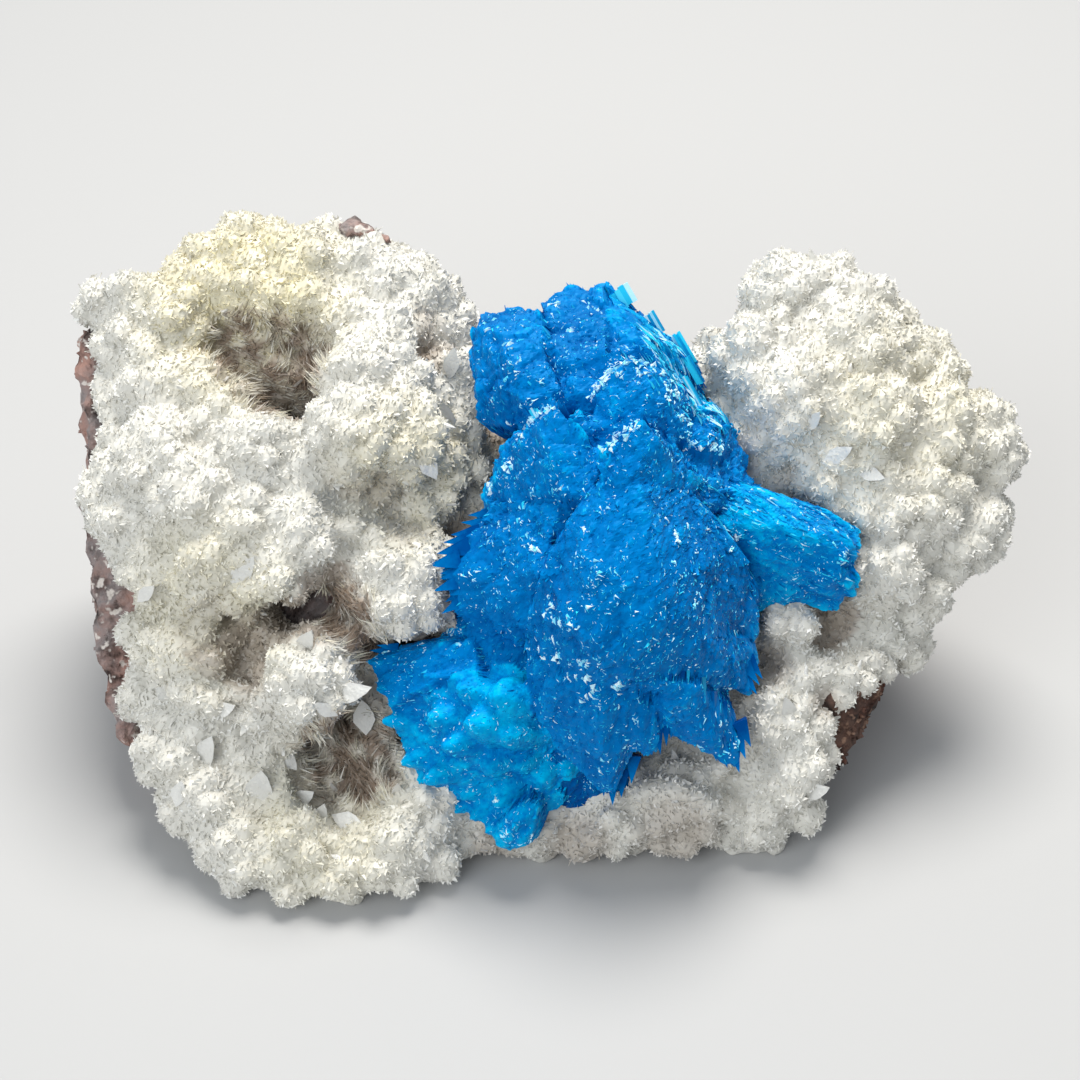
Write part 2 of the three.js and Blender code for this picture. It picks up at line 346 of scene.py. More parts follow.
def grainGroup():        # fine grain for bump and colour: two noises, coarse and fine
    inputs = [("Scale", "NodeSocketFloat", 1000.0), ("Contrast", "NodeSocketFloat", 1.0)]
    group = newGroup("mineralGrain", inputs, [("Mottle", "NodeSocketFloat"), ("Height", "NodeSocketFloat")])
    start = group.nodes.new("NodeGroupInput")
    end = group.nodes.new("NodeGroupOutput")
    where = wire(group, "ShaderNodeTexCoord").outputs["Object"]
    coarse = worked(group, "MULTIPLY", start.outputs["Scale"], 0.22)
    broad = noiseAt(group, where, coarse, 4.0, 0.6)
    fine = noiseAt(group, where, start.outputs["Scale"], 3.0, 0.5)
    centred = worked(group, "SUBTRACT", broad, 0.5)
    spread = worked(group, "MULTIPLY_ADD", centred, start.outputs["Contrast"], 0.5)
    group.links.new(spread, end.inputs["Mottle"])
    group.links.new(fine, end.inputs["Height"])
    return group


mineralGrain = grainGroup()


def newMaterial(name):
    material = bpy.data.materials.new(name)
    material.use_nodes = True
    tree = material.node_tree
    return material, tree, tree.nodes["Principled BSDF"]


def placeGrain(tree, scale, contrast):
    node = tree.nodes.new("ShaderNodeGroup")
    node.node_tree = mineralGrain
    node.inputs["Scale"].default_value = scale
    node.inputs["Contrast"].default_value = contrast
    return node


def bumped(tree, shader, grain, strength, distance):
    bump = wire(tree, "ShaderNodeBump", Height=grain.outputs["Height"], Strength=strength, Distance=distance)
    tree.links.new(bump.outputs[0], shader.inputs["Normal"])


def dress(tree, shader, color, finish):
    tree.links.new(color, shader.inputs["Base Color"])
    for socket, value in finish.items():
        shader.inputs[socket].default_value = value


# In each look a grain is its scale and contrast, and a bump its strength and its distance in metres.
stilbiteLook = {
    # root is painted shade: blades darken to it towards their roots, and the druse between them is painted
    # near it.
    "root": (0.64, 0.622, 0.565), "shaded": (0.742, 0.732, 0.69), "white": (0.865, 0.865, 0.84),
    # brown colours the hollows' fibres, and also paints shade in dark holes and clefts and shadow under the
    # cluster.
    "yellow": (0.97, 0.89, 0.58), "brown": (0.27, 0.205, 0.155),
    "whitening": 1.6,      # the more, the nearer to its edge a blade turns white
    "grain": (900.0, 1.6), "bump": (0.25, 0.00005),
    "finish": {"Roughness": 0.35, "IOR": 1.5, "Specular IOR Level": 0.45},
}
tabletLook = {
    "shaded": stilbiteLook["shaded"], "pale": (0.95, 0.94, 0.90), "brown": stilbiteLook["brown"],
    "grain": (1400.0, 1.0), "bump": (0.7, 0.0003),
    "finish": {"Roughness": 0.3, "IOR": 1.5, "Transmission Weight": 0.25},
}


def stilbiteMaterial(name, grained):
    look = stilbiteLook
    material, tree, shader = newMaterial(name)
    tone, reach, stain, brownAndShade = valuesOf(tree, "tone", "reach", "stain", "brownAndShade")
    white = mixed(tree, tone, look["shaded"], look["white"])
    # Painted shade: each blade darker towards its root.
    lit = mixed(tree, worked(tree, "POWER", reach, look["whitening"]), look["root"], white)
    if grained:
        grain = placeGrain(tree, *look["grain"])
        stain = worked(tree, "MULTIPLY", stain, grain.outputs["Mottle"], clamp=True)
        bumped(tree, shader, grain, *look["bump"])
    warm = mixed(tree, stain, lit, look["yellow"], "MULTIPLY")
    # Browned by the hollows' brown, and darkened by painted shade and shadow.
    dress(tree, shader, mixed(tree, brownAndShade, warm, look["brown"]), look["finish"])
    return material


def tabletMaterial():    # frosted, half clear crystal
    look = tabletLook
    material, tree, shader = newMaterial("stilbite_tablets")
    tone, brownAndShade = valuesOf(tree, "tone", "brownAndShade")
    pale = mixed(tree, tone, look["shaded"], look["pale"])
    bumped(tree, shader, placeGrain(tree, *look["grain"]), *look["bump"])
    # Browned by the hollows' brown, and darkened by painted shade in their darkest parts.
    dress(tree, shader, mixed(tree, brownAndShade, pale, look["brown"]), look["finish"])
    return material


cavansiteLook = {
    "deep": (0.0, 0.05, 0.24), "body": (0.0, 0.172, 0.50), "light": (0.0, 0.46, 0.80),
    "cyan": (0.03, 0.62, 0.86), "white": (0.82, 0.97, 1.0),
    # A crystal's lightness starts at darkest, and its mottle, tone, shade and reach add their shares of it.
    # Reach paints crystal tips and bundle ridges lighter, and roots and grooves darker, as painted shade.
    "darkest": -0.3, "shares": [0.3, 0.3, 0.3, 0.6], "bodyAt": 0.62,
    "mottle": (8000.0, 2.0), "grain": (1500.0, 1.5), "bump": (0.2, 0.00005),
    "finish": {
        "Roughness": 0.42, "IOR": 1.54, "Specular IOR Level": 0.22, "Specular Tint": (0.0, 0.6, 1.0, 1),
    },
}


def cavansiteMaterial(name):
    look = cavansiteLook
    material, tree, shader = newMaterial(name)
    tone, reach, fleckAndGlint, shade = valuesOf(tree, "tone", "reach", "fleckAndGlint", "shade")
    mottle = placeGrain(tree, *look["mottle"]).outputs["Mottle"]
    lightness = look["darkest"]
    for value, share in zip((mottle, tone, shade, reach), look["shares"]):
        lightness = worked(tree, "MULTIPLY_ADD", value, share, lightness, clamp=value is reach)
    stops = [(0.0, look["deep"]), (look["bodyAt"], look["body"]), (1.0, look["light"])]
    color = ramp(tree, lightness, stops)
    # The flecks paint white crystals and painted glints, through cyan to white.
    for paler, low, high in (("cyan", 0.0, 0.5), ("white", 0.5, 1.0)):
        share = wire(tree, "ShaderNodeMapRange", Value=fleckAndGlint, i1=low, i2=high).outputs[0]
        color = mixed(tree, share, color, look[paler])
    bumped(tree, shader, placeGrain(tree, *look["grain"]), *look["bump"])
    dress(tree, shader, color, look["finish"])
    return material


basaltLook = {
    "grey": (0.26, 0.225, 0.22), "red": (0.38, 0.22, 0.18), "dark": (0.09, 0.06, 0.05),
    # brown darkens the low right patch: the rock's own brown and painted shade.
    "crumb": (0.68, 0.62, 0.57), "brown": (0.30, 0.19, 0.14),
    "patches": (110.0, 5.0, 0.62), "crumbs": (900.0, 2.0, 0.6),      # each one's scale, detail and roughness
    "grain": (1500.0, 2.2), "bump": (0.8, 0.0004), "finish": {"Roughness": 0.85},
}


def basaltMaterial():
    look = basaltLook
    material, tree, shader = newMaterial("basalt")
    grain = placeGrain(tree, *look["grain"])
    where = wire(tree, "ShaderNodeTexCoord").outputs["Object"]
    patches = noiseAt(tree, where, *look["patches"])
    crumbs = noiseAt(tree, where, *look["crumbs"])
    ground = ramp(tree, patches, [(0.36, look["red"]), (0.5, look["grey"]), (0.64, look["red"])])
    dark = ramp(tree, grain.outputs["Mottle"], [(0.2, look["dark"]), (0.55, (1, 1, 1))])
    color = mixed(tree, 1.0, ground, dark, "MULTIPLY")
    crumb = ramp(tree, crumbs, [(0.58, (0, 0, 0)), (0.66, (1, 1, 1))])
    color = mixed(tree, crumb, color, look["crumb"])
    # Darker brown at the low right patch: the rock's own colour and painted shade.
    color = mixed(tree, valuesOf(tree, "darkBrownAndShade")[0], color, look["brown"], "MULTIPLY")
    bumped(tree, shader, grain, *look["bump"])
    dress(tree, shader, color, look["finish"])
    return material


basalt = {
    "voxel": 0.7 * mm, "smoothings": 4,
    # Each roughness is its size, its depth and the texture's value that leaves the surface where it is.
    "humps": [4 * mm, 1.2 * mm, 0.55], "facets": [4.5 * mm, 1.6 * mm, 0.75],
    "grain": [1.1 * mm, 0.8 * mm, 0.5],
    "crumbs": 3000, "crumbSize": [0.25, 0.9], "crumbSides": [0.6, 1.2], "crumbLean": 60,
    "crumbsFrom": 1.2 * mm, "patchCrumbs": 9, "patchRows": 3,
}


# Rock left bare at the crust's edge, (across, up, out, radius) on the face.
bareRock = [
    (27, -13.4, -3.5, 3.4), (25.4, -16.6, -3.2, 3), (28.9, -11.1, -5.4, 3.2), (-18.6, 31, -6.8, 1.2),
    (-16.9, 30.6, -5.9, 1.1), (-14.9, 29.6, -6.2, 1.2), (-42.4, 20.4, -8.6, 1.8), (-42.5, 17.4, -8.6, 1.8),
    (-42.4, 14.4, -8.4, 1.8), (-42.1, 11.5, -8.4, 1.7), (-41.3, 1.2, -7.4, 1.8), (-41.8, -2.2, -7.2, 1.9),
    (-41.4, -5.6, -7, 1.6), (-40.7, -9, -7, 1.6), (-39.8, -12.8, -7, 1.6), (-38.8, -16.6, -6.6, 1.6),
    (-37.4, -20.4, -6.6, 1.1),
]


def basaltMesh():
    humps, facets, grain = basalt["humps"], basalt["facets"], basalt["grain"]
    rough = reworked(joined("rock", [cadCopy("basalt_host_rock"), ballsOf("bare", bareRock)]), [
        voxels(basalt["voxel"]),
        smoothed(basalt["smoothings"]),
        displaced(*humps[1:], cloudTexture("rockHumps", humps[0], 4)),
        displaced(*facets[1:], cellTexture("rockFacets", facets[0])),
        displaced(*grain[1:], cloudTexture("rockGrain", grain[0], 2)),
    ])
    keepAbove(rough, 0)
    spots = toFace(placesOf(rough))
    darkBrownAndShade = np.zeros(len(spots))
    # The first rows make a darker brown patch at the low right: partly the rock's own colour, partly painted
    # shade.
    for *centre, radius in bareRock[:basalt["patchRows"]]:
        darkBrownAndShade = np.maximum(darkBrownAndShade, (2 - np.linalg.norm(spots - centre, axis=1) / radius).clip(0, 1))
    paint(rough, "darkBrownAndShade", darkBrownAndShade)
    return rough, darkBrownAndShade.astype(np.float32)


def basaltCrumbs(rock, darkBrownAndShade):     # angular grains of rock that stand out of its broken surface
    count = basalt["crumbs"]
    high = placesOf(rock)[:, 2] > basalt["crumbsFrom"]
    places, normals, nearest = spreadOver(rock, count, high * (1 + basalt["patchCrumbs"] * darkBrownAndShade))
    size = basalt["crumbSize"][0] + chance.random(count) ** 2 * np.ptp(basalt["crumbSize"])
    sizes = size[:, None] * chance.uniform(*basalt["crumbSides"], (count, 3)) * mm
    grain = hullOf([
        (-0.5, 0, 0), (0.4, 0.1, 0.1), (0, -0.5, 0), (0.1, 0.5, -0.1), (0.1, 0, -0.4), (-0.1, 0, 0.5),
    ])
    axes = axesAlong(leaned(normals, basalt["crumbLean"]))
    return copiesOf("crumbs", templateOf(grain), places, axes, sizes, {"darkBrownAndShade": darkBrownAndShade[nearest]})


# The cluster's petals, in face millimetres: the point that each one's crystals fan out from, its shade from
# -1 dark to 1 light, and the corners of its broken outline, (across, up, out).
petals = {
    "topLeft": [(3.5, 9, -4), 0.05, [
        (-6.5, 23, 0), (-4, 23.8, -1), (-1.3, 23.4, -1.5), (-6.9, 18, 1), (-6.4, 15, 2.5), (-6.3, 12.3, 1.5),
        (-4, 20.5, 3), (-4.5, 15.5, 5), (-3, 17.5, 5.5), (0, 19, 4), (1.5, 15, 6), (-2, 14, 6), (3, 11, 3),
        (-3.5, 12, 3.5), (-4, 13, -3), (-6, 21, -4), (2, 8, -9),
    ]],
    "topCrown": [(8.5, 11, -6), -0.05, [
        (-1, 24, -3), (1, 25.2, -4), (3.5, 25.2, -4), (5.5, 25.6, -4), (8, 24.3, -4), (0.5, 22, 0.5),
        (5, 22.5, 0.5), (3.5, 19.5, 3), (1, 19, 3.5), (7, 20.5, 1.5), (8.5, 20, 1), (0, 24, -7),
        (8, 24.5, -8), (9, 11, -8),
    ]],
    "topFlank": [(17, 11, -6), 0.7, [
        (5.5, 25.3, -3), (8.3, 24, -4), (10.6, 22.3, -4.5), (12.2, 20.3, -5.5), (15.4, 13.6, -4.5),
        (14.9, 11.5, -1.5), (7, 19.5, 3), (5.5, 22, 1), (9.3, 19.5, 3), (12.5, 14.5, 2.5), (14.2, 12, 1),
        (8.5, 23.6, -9), (12.8, 18.6, -9), (16.5, 12, -6),
    ]],
    "mound": [(11, 8, -2), 0.05, [
        (4.3, 15.3, 7), (6, 17.1, 7.2), (7.5, 18, 7), (10.5, 17.3, 6), (13, 14.3, 4.2), (15, 11.2, 1),
        (4, 13.5, 6), (4.5, 10.5, 7.5), (7.5, 15.5, 8), (11, 14, 7), (13, 10.5, 5), (8.5, 10.5, 8.5),
        (4, 11, 2), (5, 16.5, -1), (12, 8.5, -6),
    ]],
    "leftRidge": [(5, 0.5, 1), 0.15, [
        (0.8, 13.9, 9.4), (-1, 12.5, 8.8), (-2.2, 11.5, 7.6), (-4.2, 10, 5), (-5, 7, 2), (-5.5, 4.5, 0.5),
        (2.8, 11.8, 9.6), (4.5, 9, 9.4), (0, 10.5, 9.6), (-2, 8.5, 7.8), (1.5, 6, 10.4), (-4, 5.5, 5.5),
        (4.5, 4.5, 10.5), (0.5, 14, 2), (-3.5, 10, -1), (4, 11, 3), (4, 1.5, -3),
    ]],
    "crest": [(9.5, 2, 3), 0.15, [
        (8.4, 12.4, 11.8), (6.5, 11, 11.8), (5, 9.7, 11.2), (4.5, 8.3, 11), (10, 10.4, 11.6), (12, 8.3, 9.4),
        (14, 7, 7), (8, 8, 12.6), (12.5, 5.5, 9), (5.5, 5, 12), (8.5, 12, 4), (14, 8, 2), (10, 3, 0),
    ]],
    "shoulder": [(13, 4, -1), 0.1, [
        (13, 11, 3), (15, 11, 1.5), (17.5, 9.5, 0), (19.5, 7, -1), (19.5, 6, -1), (13.5, 8, 6),
        (16.5, 6, 4.5), (18, 4.5, 2), (14, 4, 7), (14.5, 11, -3), (19, 7.5, -5), (14.5, 3.5, -4),
    ]],
    "rightFan": [(11, 8.5, 0), 0.72, [
        (14.5, 7.5, 3.5), (14.5, 3.5, 4.5), (17, 1, 3.5), (20, 6.2, 1.5), (22.5, 5.2, 2), (25.5, 4.7, 1.5),
        (28.6, 2.8, 1), (28.6, 1, 2.5), (28.4, -1.5, 2.5), (28, -3.5, 1.5), (26.6, -4.8, 0), (23, -3.5, 1),
        (20, -2.5, 1), (25, 2.5, 5), (27, 0.5, 4.8), (26.5, -2.3, 4), (22, 3, 4.5), (23.5, 3.5, -4),
        (27.5, 0.5, -4), (19.5, -4, 0.5), (12, 8, -2),
    ]],
    "rosette": [(9, 7.5, 4), -0.08, [
        (4.5, 7, 11), (8, 7.5, 12), (12.5, 6, 9), (16.5, 2, 6.5), (18, 0, 5.5), (19.6, -3.5, 3),
        (19.8, -5, 2.5), (18.8, -7.5, 2.5), (18, -8, 4), (13.5, -12, 8), (8, -11, 11.5), (1.5, -12, 8.5),
        (-1, -8.5, 8), (-2, -7, 7.5), (-0.5, -1, 10.5), (1.5, 3.5, 11), (4.5, -1, 14), (10, -2.5, 14),
        (14, 0, 10.5), (4.5, -7.5, 13.5), (1.5, -5, 12.5), (13.5, -7, 11), (8, -6.5, 13.5), (13, 6.5, 3),
        (-1.5, -7, 2), (7, 0, -3),
    ]],
    "rosetteLeft": [(6.5, 3.5, 2), -0.12, [
        (-5.7, 5, 1), (-7.3, 3, 2), (-8.8, 1.2, 3.5), (-9.3, -1.5, 4.5), (-8.8, -4, 4), (-7.5, -6, 3.5),
        (-6, -8, 3), (-2, -9, 4.5), (-0.5, -1, 9.5), (1.5, 5.5, 9), (-3, 5.5, 6), (-5, 2, 6),
        (-5.5, -1.5, 6.5), (-4, -4.5, 7), (-1.5, -6, 7.5), (-8, 0, -1), (-6, -5.5, -2), (5, 0, -2),
    ]],
    "petalLeft": [(7, -1, 5), 0.0, [
        (-2, -7, 7), (-2, -10.5, 6.5), (-1.5, -13, 6), (0, -15, 5.5), (1.5, -17, 5.5), (3, -18.5, 5),
        (4.5, -21, 4.5), (6, -21.5, 5.2), (7.5, -18, 5.6), (5, -16, 8.8), (4, -17.5, 7), (1.5, -13, 8.5),
        (4.5, -11, 11), (8.2, -12.3, 9.4), (7.2, -16, 7.6), (0.5, -8.5, 9.5), (1.5, -16, 2), (5, -20, 2),
        (5, -3.5, 1),
    ]],
    "petalMiddle": [(8.5, -1, 6), 0.0, [
        (4, -12, 9.5), (5.5, -16, 7), (6.5, -17, 6.5), (9, -17.6, 6.8), (10, -17, 6.6), (10, -15.5, 7.2),
        (9.4, -13.2, 8.6), (7, -11.5, 9.8), (7, -14.5, 8.6), (8.8, -15.8, 8), (4.5, -8.5, 12), (6.5, -17, 5),
        (10, -16, 5), (8.5, -3.5, 3),
    ]],
    "petalRight": [(11, -0.5, 5), 0.0, [
        (9.5, -13, 8), (10.3, -15.4, 6.5), (11, -15.8, 6.5), (12, -16.4, 6.5), (13.5, -17, 6),
        (16, -18.5, 5.5), (17, -18.5, 5), (17.5, -18, 5), (17.5, -16.5, 5), (17, -13.5, 5), (16, -12, 5),
        (13.5, -11, 9.5), (15, -15.5, 7.5), (12.5, -13.5, 9), (10, -10.5, 11), (13, -16, 3), (17, -17, 2.5),
        (11.5, -3.5, 1),
    ]],
    "petalSide": [(11.5, 0, 4), 0.0, [
        (16, -12, 5.5), (18.6, -12, 4), (17.6, -10, 4.5), (17.6, -8.5, 5), (19.2, -7, 2.5), (13.5, -10.5, 9),
        (14.5, -7, 10), (17, -9, 6.5), (18, -11.5, 1.5), (13, -3.5, 0),
    ]],
    "lowerWedge": [(0, -10, -3), 0.35, [
        (-15.5, -8, 1), (-14, -7.5, 0.5), (-12.5, -7.5, 0.5), (-7.5, -6.5, 1), (-16.5, -9, 1.5),
        (-16, -10, 2), (-15.5, -12, 2.5), (-14, -13.5, 2.5), (-12, -12, 4), (-9.5, -10.5, 5), (-6, -10, 5.5),
        (-6.5, -7, 4), (-13, -9, 3.5), (-15, -11, -1), (-15, -8.5, -2), (0, -10.5, -5),
    ]],
    "lowerTip": [(1.5, -18.5, -2), 0.9, [
        (-4, -23, 3), (-2.5, -22, 3.5), (-0.5, -22, 3), (-0.8, -23.7, 3), (-1.8, -26, 2.5), (-3, -26.6, 2),
        (-4.5, -25.7, 2), (-5, -24.5, 2), (0, -23.5, 0), (-0.5, -25.5, 0), (-3.5, -26.3, -2), (-3, -24, 4),
        (1.5, -19.5, -5),
    ]],
    "lowerFan": [(2, -13, -3), 0.95, [
        (-14, -12.5, 1), (-14, -15.5, 1), (-12.5, -18.5, 1), (-10.5, -21, 1), (-8.5, -22.5, 0),
        (-5.5, -24, -0.5), (-2, -22, 0.5), (0.5, -21, 0), (2.5, -18.5, 1), (0, -14, 4), (-4, -11, 6),
        (-8, -10.5, 5), (-11, -12, 3.5), (-6, -15, 5.5), (-8, -18.5, 3.5), (-4, -19, 3), (-12, -12, -1.5),
        (-8, -22, -3), (2, -14.5, -4),
    ]],
    # lowerRoot's dark shade is painted shadow under the rosette.
    "lowerRoot": [(3.5, -12, -5), -0.8, [
        (-1.5, -22, 1), (0, -25, -1), (2.5, -24.8, -1.5), (5, -24, -1.5), (8.5, -23, -2), (9.5, -19.5, -2),
        (5, -17, 1.5), (1.5, -16.5, 2.5), (-1.5, -18, 1.5), (4, -21, 0.5), (3.5, -13, -6),
    ]],
}
# The rounded lobes of its lower left fan: each one's end and how wide it is there, (across, up, out, radius).
lobeRoot, lobeShade = (2, -14.5, -4), 0.95
lobes = [
    (-13.5, -14.5, 1.5, 1.5), (-12, -18, 1.5, 1.6), (-10, -19.5, 2.5, 1.7), (-9.5, -14, 4.5, 1.9),
    (-8.5, -16.5, 4.5, 2), (-6, -14.5, 6, 2.4), (-7, -21, 1, 1.6), (-5, -18.5, 3.5, 2), (-3.5, -15.5, 5.5, 2),
    (-7, -11.5, 5.5, 2), (-4, -12, 6.5, 2.3), (-7.5, -22.5, 0, 1.2), (-6, -23, 0.5, 1.5),
    (-4, -21.5, 1.5, 1.6), (-4.8, -24, 1, 1.3), (-2.5, -18.5, 3, 1.6), (0, -15.5, 3.5, 1.4),
    (-0.5, -20, 1.5, 1.9), (2, -19, 1.5, 1.1), (0.5, -21.5, 0, 1.5),
]
# Its longest single crystals: (across, up, out) of the point, width and length.
spikes = [
    (-10.5, -0.6, 5, 3, 3), (-9.9, -2.8, 5, 2.8, 2.8), (-9.2, 1.4, 4, 2.4, 2.6), (-9.2, -4.8, 4.4, 2.4, 2.6),
    (-7.6, 3.4, 3, 2, 2.4), (6, -21.9, 4.3, 2.4, 2.6), (17.4, -18.9, 5, 2.4, 2.6), (18.9, -12.1, 4, 2, 2.4),
    (10.2, -17.1, 7, 1.6, 2.2), (28.3, 0.6, 2.8, 1.8, 2), (28.2, -1.9, 2.8, 1.8, 2), (1, 14.1, 8.9, 1.6, 2),
    (8.5, 12.7, 11.4, 1.6, 2), (19.8, 7, -0.6, 1.6, 2), (-15.9, -8.2, 0.8, 1.6, 2),
]
# How the spikes stand: each has shorter ones to its sides and further back, in shares of its width.
spike = {
    "asides": [0, -0.34, 0.34, 0.62], "uneven": [-0.06, 0.06], "back": [0.8, 1.5], "lean": 5,
    "width": 0.6, "depth": 0.35, "shade": -0.2,
}
# Balls that fill the cluster between its petals, (across, up, out, radius).
coreBalls = [
    (5.2, 9.6, 0.5, 4.5), (13, 10.2, -1, 4.5), (1.7, 4, 4.5, 3.5), (1, -2, 3, 5), (-10, -10.5, 0.5, 3),
    (20, 1, -1, 3), (20.5, -2.5, -1.5, 2.5), (0.5, 20.5, -2, 3), (5.5, 17.5, 0, 4), (2.4, 17.6, 1.8, 2.4),
    (3.2, 14.8, 3.6, 2.2), (3.6, 11.4, 6.4, 1.9), (4.9, 8, 7.6, 2.2), (5, 9.5, 3, 4), (1, 3.5, 6, 3),
    (13.3, 10, 2.2, 3), (0.8, 19, 0.5, 2.6), (7, 1, -3, 7.5), (9, 11, -5, 5.5), (-1.5, -11, -4, 5),
    (6, -7, -1, 6), (1.5, -17, -5, 4.5), (1.5, 17, -3, 4.5), (3.5, 12, -1.5, 4.5), (9, 13, -1, 5),
    (0, 5.5, 2, 5.5), (-5, -6, -1.5, 4.5), (9.6, 17.3, -4, 4.6), (14, 8.5, -3, 5), (16.5, 2, -1.5, 4),
    (17, -2.5, 0, 3.5), (3, 20, -4, 3.5), (-2.5, -9, 1, 4), (9, 4.5, 4, 5.5),
]

cavansite = {
    "voxel": 0.28 * mm,
    # The crystal bundles: how wide they are, how far their ends differ and how round their sides are, in mm.
    "bundles": [(2.2, 0.7, 0.25), (0.85, 0.6, 0.1), (0.42, 0.3, 0.05)], "front": 0.2, "onLobes": 0.45,
    "grooved": {"rightFan": 2.4, "topFlank": 2.4}, "lobeWidth": 1.12,
    # Painted relief: highlight on ridges and shade in creases; the smoothing that finds them, its strength
    # and its limits, in mm.
    "reliefSmoothings": 45, "reliefShading": 1.1, "reliefShadingLimits": [-0.7, 0.5],
    "grain": [0.4 * mm, 0.05 * mm],
    "crystals": {"count": 38000, "width": [0.12, 0.26], "length": [0.7, 1.5], "standOut": [0, 0.2]},
    "teeth": {"count": 1200, "width": [0.35, 0.7], "length": [1.6, 2.4], "standOut": [0.15, 0.6]},
    # Teeth stand on a petal's rim, between its side at 0 and its cap at 1, if its shade is under rimShade.
    "rim": [0.3, 0.85], "rimShade": 0.4,
    "laid": 0.45, "splay": 8, "sunk": 0.12, "sideStandOut": 0.35, "depth": [0.5, 0.95], "clear": 1.2 * mm,
    # Crystals with white flecks and painted glints: up to the first share brightly, and from there to the
    # second less so.
    "fleckedAndGlinting": 0.012, "fleckAndGlint": [0.5, 1], "speckedAndGlinting": 0.16, "speckAndGlint": [0.1, 0.35],
}


def fingerShape():       # a lobe of unit length along Z: a tapering stalk with a rounded end
    bm = bmesh.new()
    bmesh.ops.create_uvsphere(bm, u_segments=14, v_segments=14, radius=1)
    for vert in bm.verts:
        if vert.co.z < 0:
            vert.co.x *= 1 + 0.5 * vert.co.z
            vert.co.y *= 1 + 0.5 * vert.co.z
    return templateOf(bm)


def lobesMesh():
    ends, root = np.array(lobes, float), np.array(lobeRoot, float)
    run = ends[:, :3] - root
    width, middle = cavansite["lobeWidth"] * ends[:, 3], 0.55
    sizes = np.stack([width, width, middle * np.linalg.norm(run, axis=1)], 1)
    return copiesOf("lobes", fingerShape(), fromFace(root + run * middle), axesAlong(unit(run)) @ faceAxes,
                    sizes * mm, {})


petalHulls = []
for fan, shade, corners in petals.values():
    hull = hullOf(corners)
    planes = [(*f.normal, f.normal.dot(f.verts[0].co)) for f in hull.faces]
    petalHulls.append([np.array(planes), hull])
ownFans = np.array([fan for fan, shade, corners in petals.values()] + [lobeRoot], float)
ownShades = np.array([shade for fan, shade, corners in petals.values()] + [lobeShade])


# The petal that each face place belongs to, the last number standing for all the lobes.
def ownersOf(spots):
    depths = [(spots @ planes[:, :3].T - planes[:, 3]).max(1) for planes, hull in petalHulls]
    base = np.array(lobeRoot, float)
    nearLobes = []
    for *end, radius in lobes:
        run = np.array(end) - base
        along = ((spots - base) @ run / (run @ run)).clip(0, 1)
        nearLobes.append(np.linalg.norm(spots - base - along[:, None] * run, axis=1) - radius)
    return np.argmin([*depths, np.min(nearLobes, axis=0)], axis=0)


# How far each place on a petal moves along its crystals and out of its side, and each bundle's own shade.
def bundled(spots, facing, owners):
    ends, sides, tones = np.zeros(len(spots)), np.zeros(len(spots)), np.zeros(len(spots))
    front = 1 - (1 - cavansite["front"]) * facing[:, 2].clip(0, 1)    # the ends differ less than at the rim
    grooved = [cavansite["grooved"].get(name, 1) for name in petals] + [1]
    for number in range(len(ownFans)):
        mine = np.flatnonzero(owners == number)
        run = spots[mine] - ownFans[number]
        reach = np.linalg.norm(run, axis=1)
        rounded = cavansite["onLobes"] if number == len(petals) else 1
        for width, endStep, sideStep in cavansite["bundles"]:
            count = int(4 * math.pi * (np.median(reach) / width) ** 2)
            bundle, apart = nearestOf(unit(chance.normal(size=(count, 3))), run / reach[:, None])
            own, away = chance.random(count)[bundle], apart * reach / width
            ends[mine] += rounded * front[mine] * endStep * (own - 0.5 - 0.4 * away)
            sides[mine] += rounded * grooved[number] * sideStep * (0.35 - away)
            tones[mine] += own * endStep
    return ends, sides, tones / sum(endStep for width, endStep, sideStep in cavansite["bundles"])


def cavansiteMesh():
    parts = [lobesMesh()]
    for planes, hull in petalHulls:
        parts.append(meshOfBm(hull, "petal"))
        movePlaces(parts[-1], fromFace(placesOf(parts[-1])))
    parts.append(ballsOf("core", coreBalls))
    cluster = reworked(joined("sheaves", parts), [voxels(cavansite["voxel"]), smoothed(1)])
    normals, spots = normalsOf(cluster), toFace(placesOf(cluster))
    owners = ownersOf(spots)
    ends, sides, tones = bundled(spots, normals @ faceAxes.T, owners)
    headings = unit(spots - ownFans[owners])
    movePlaces(cluster, fromFace(spots + headings * ends[:, None]) + normals * sides[:, None] * mm)
    size, depth = cavansite["grain"]
    fine = reworked(cluster, [displaced(depth, 0.5, cloudTexture("blueGrain", size, 1))])
    smooth = reworked(fine, [smoothed(cavansite["reliefSmoothings"])])
    reliefShading = ((placesOf(fine) - placesOf(smooth)) * normalsOf(smooth)).sum(1) / mm
    # The shade adds painted highlight on ridges and painted shade in creases, by how far each place stands
    # out of the smoothed surface.
    shades = ownShades[owners] + cavansite["reliefShading"] * reliefShading.clip(*cavansite["reliefShadingLimits"])
    paint(fine, "tone", tones)
    # Lighter where bundles stand out, darker in the grooves between them: painted shade.
    paint(fine, "reach", (0.85 + 0.3 * ends + 0.4 * sides).clip(0, 1))
    paint(fine, "shade", shades)
    paint(fine, "fleckAndGlint", np.zeros(len(spots)))
    return fine, shades


def prismShape(taper, slant):  # a square crystal of unit size along Z, with a tapered, slanted end
    bm = bmesh.new()
    bmesh.ops.create_cube(bm, size=1, matrix=Matrix.Translation((0, 0, 0.5)))
    for vert in bm.verts:
        if vert.co.z > 0.5:
            vert.co.x *= taper
            vert.co.y *= taper + 0.15
            vert.co.z -= slant if vert.co.x > 0 else 0
    return templateOf(bm)


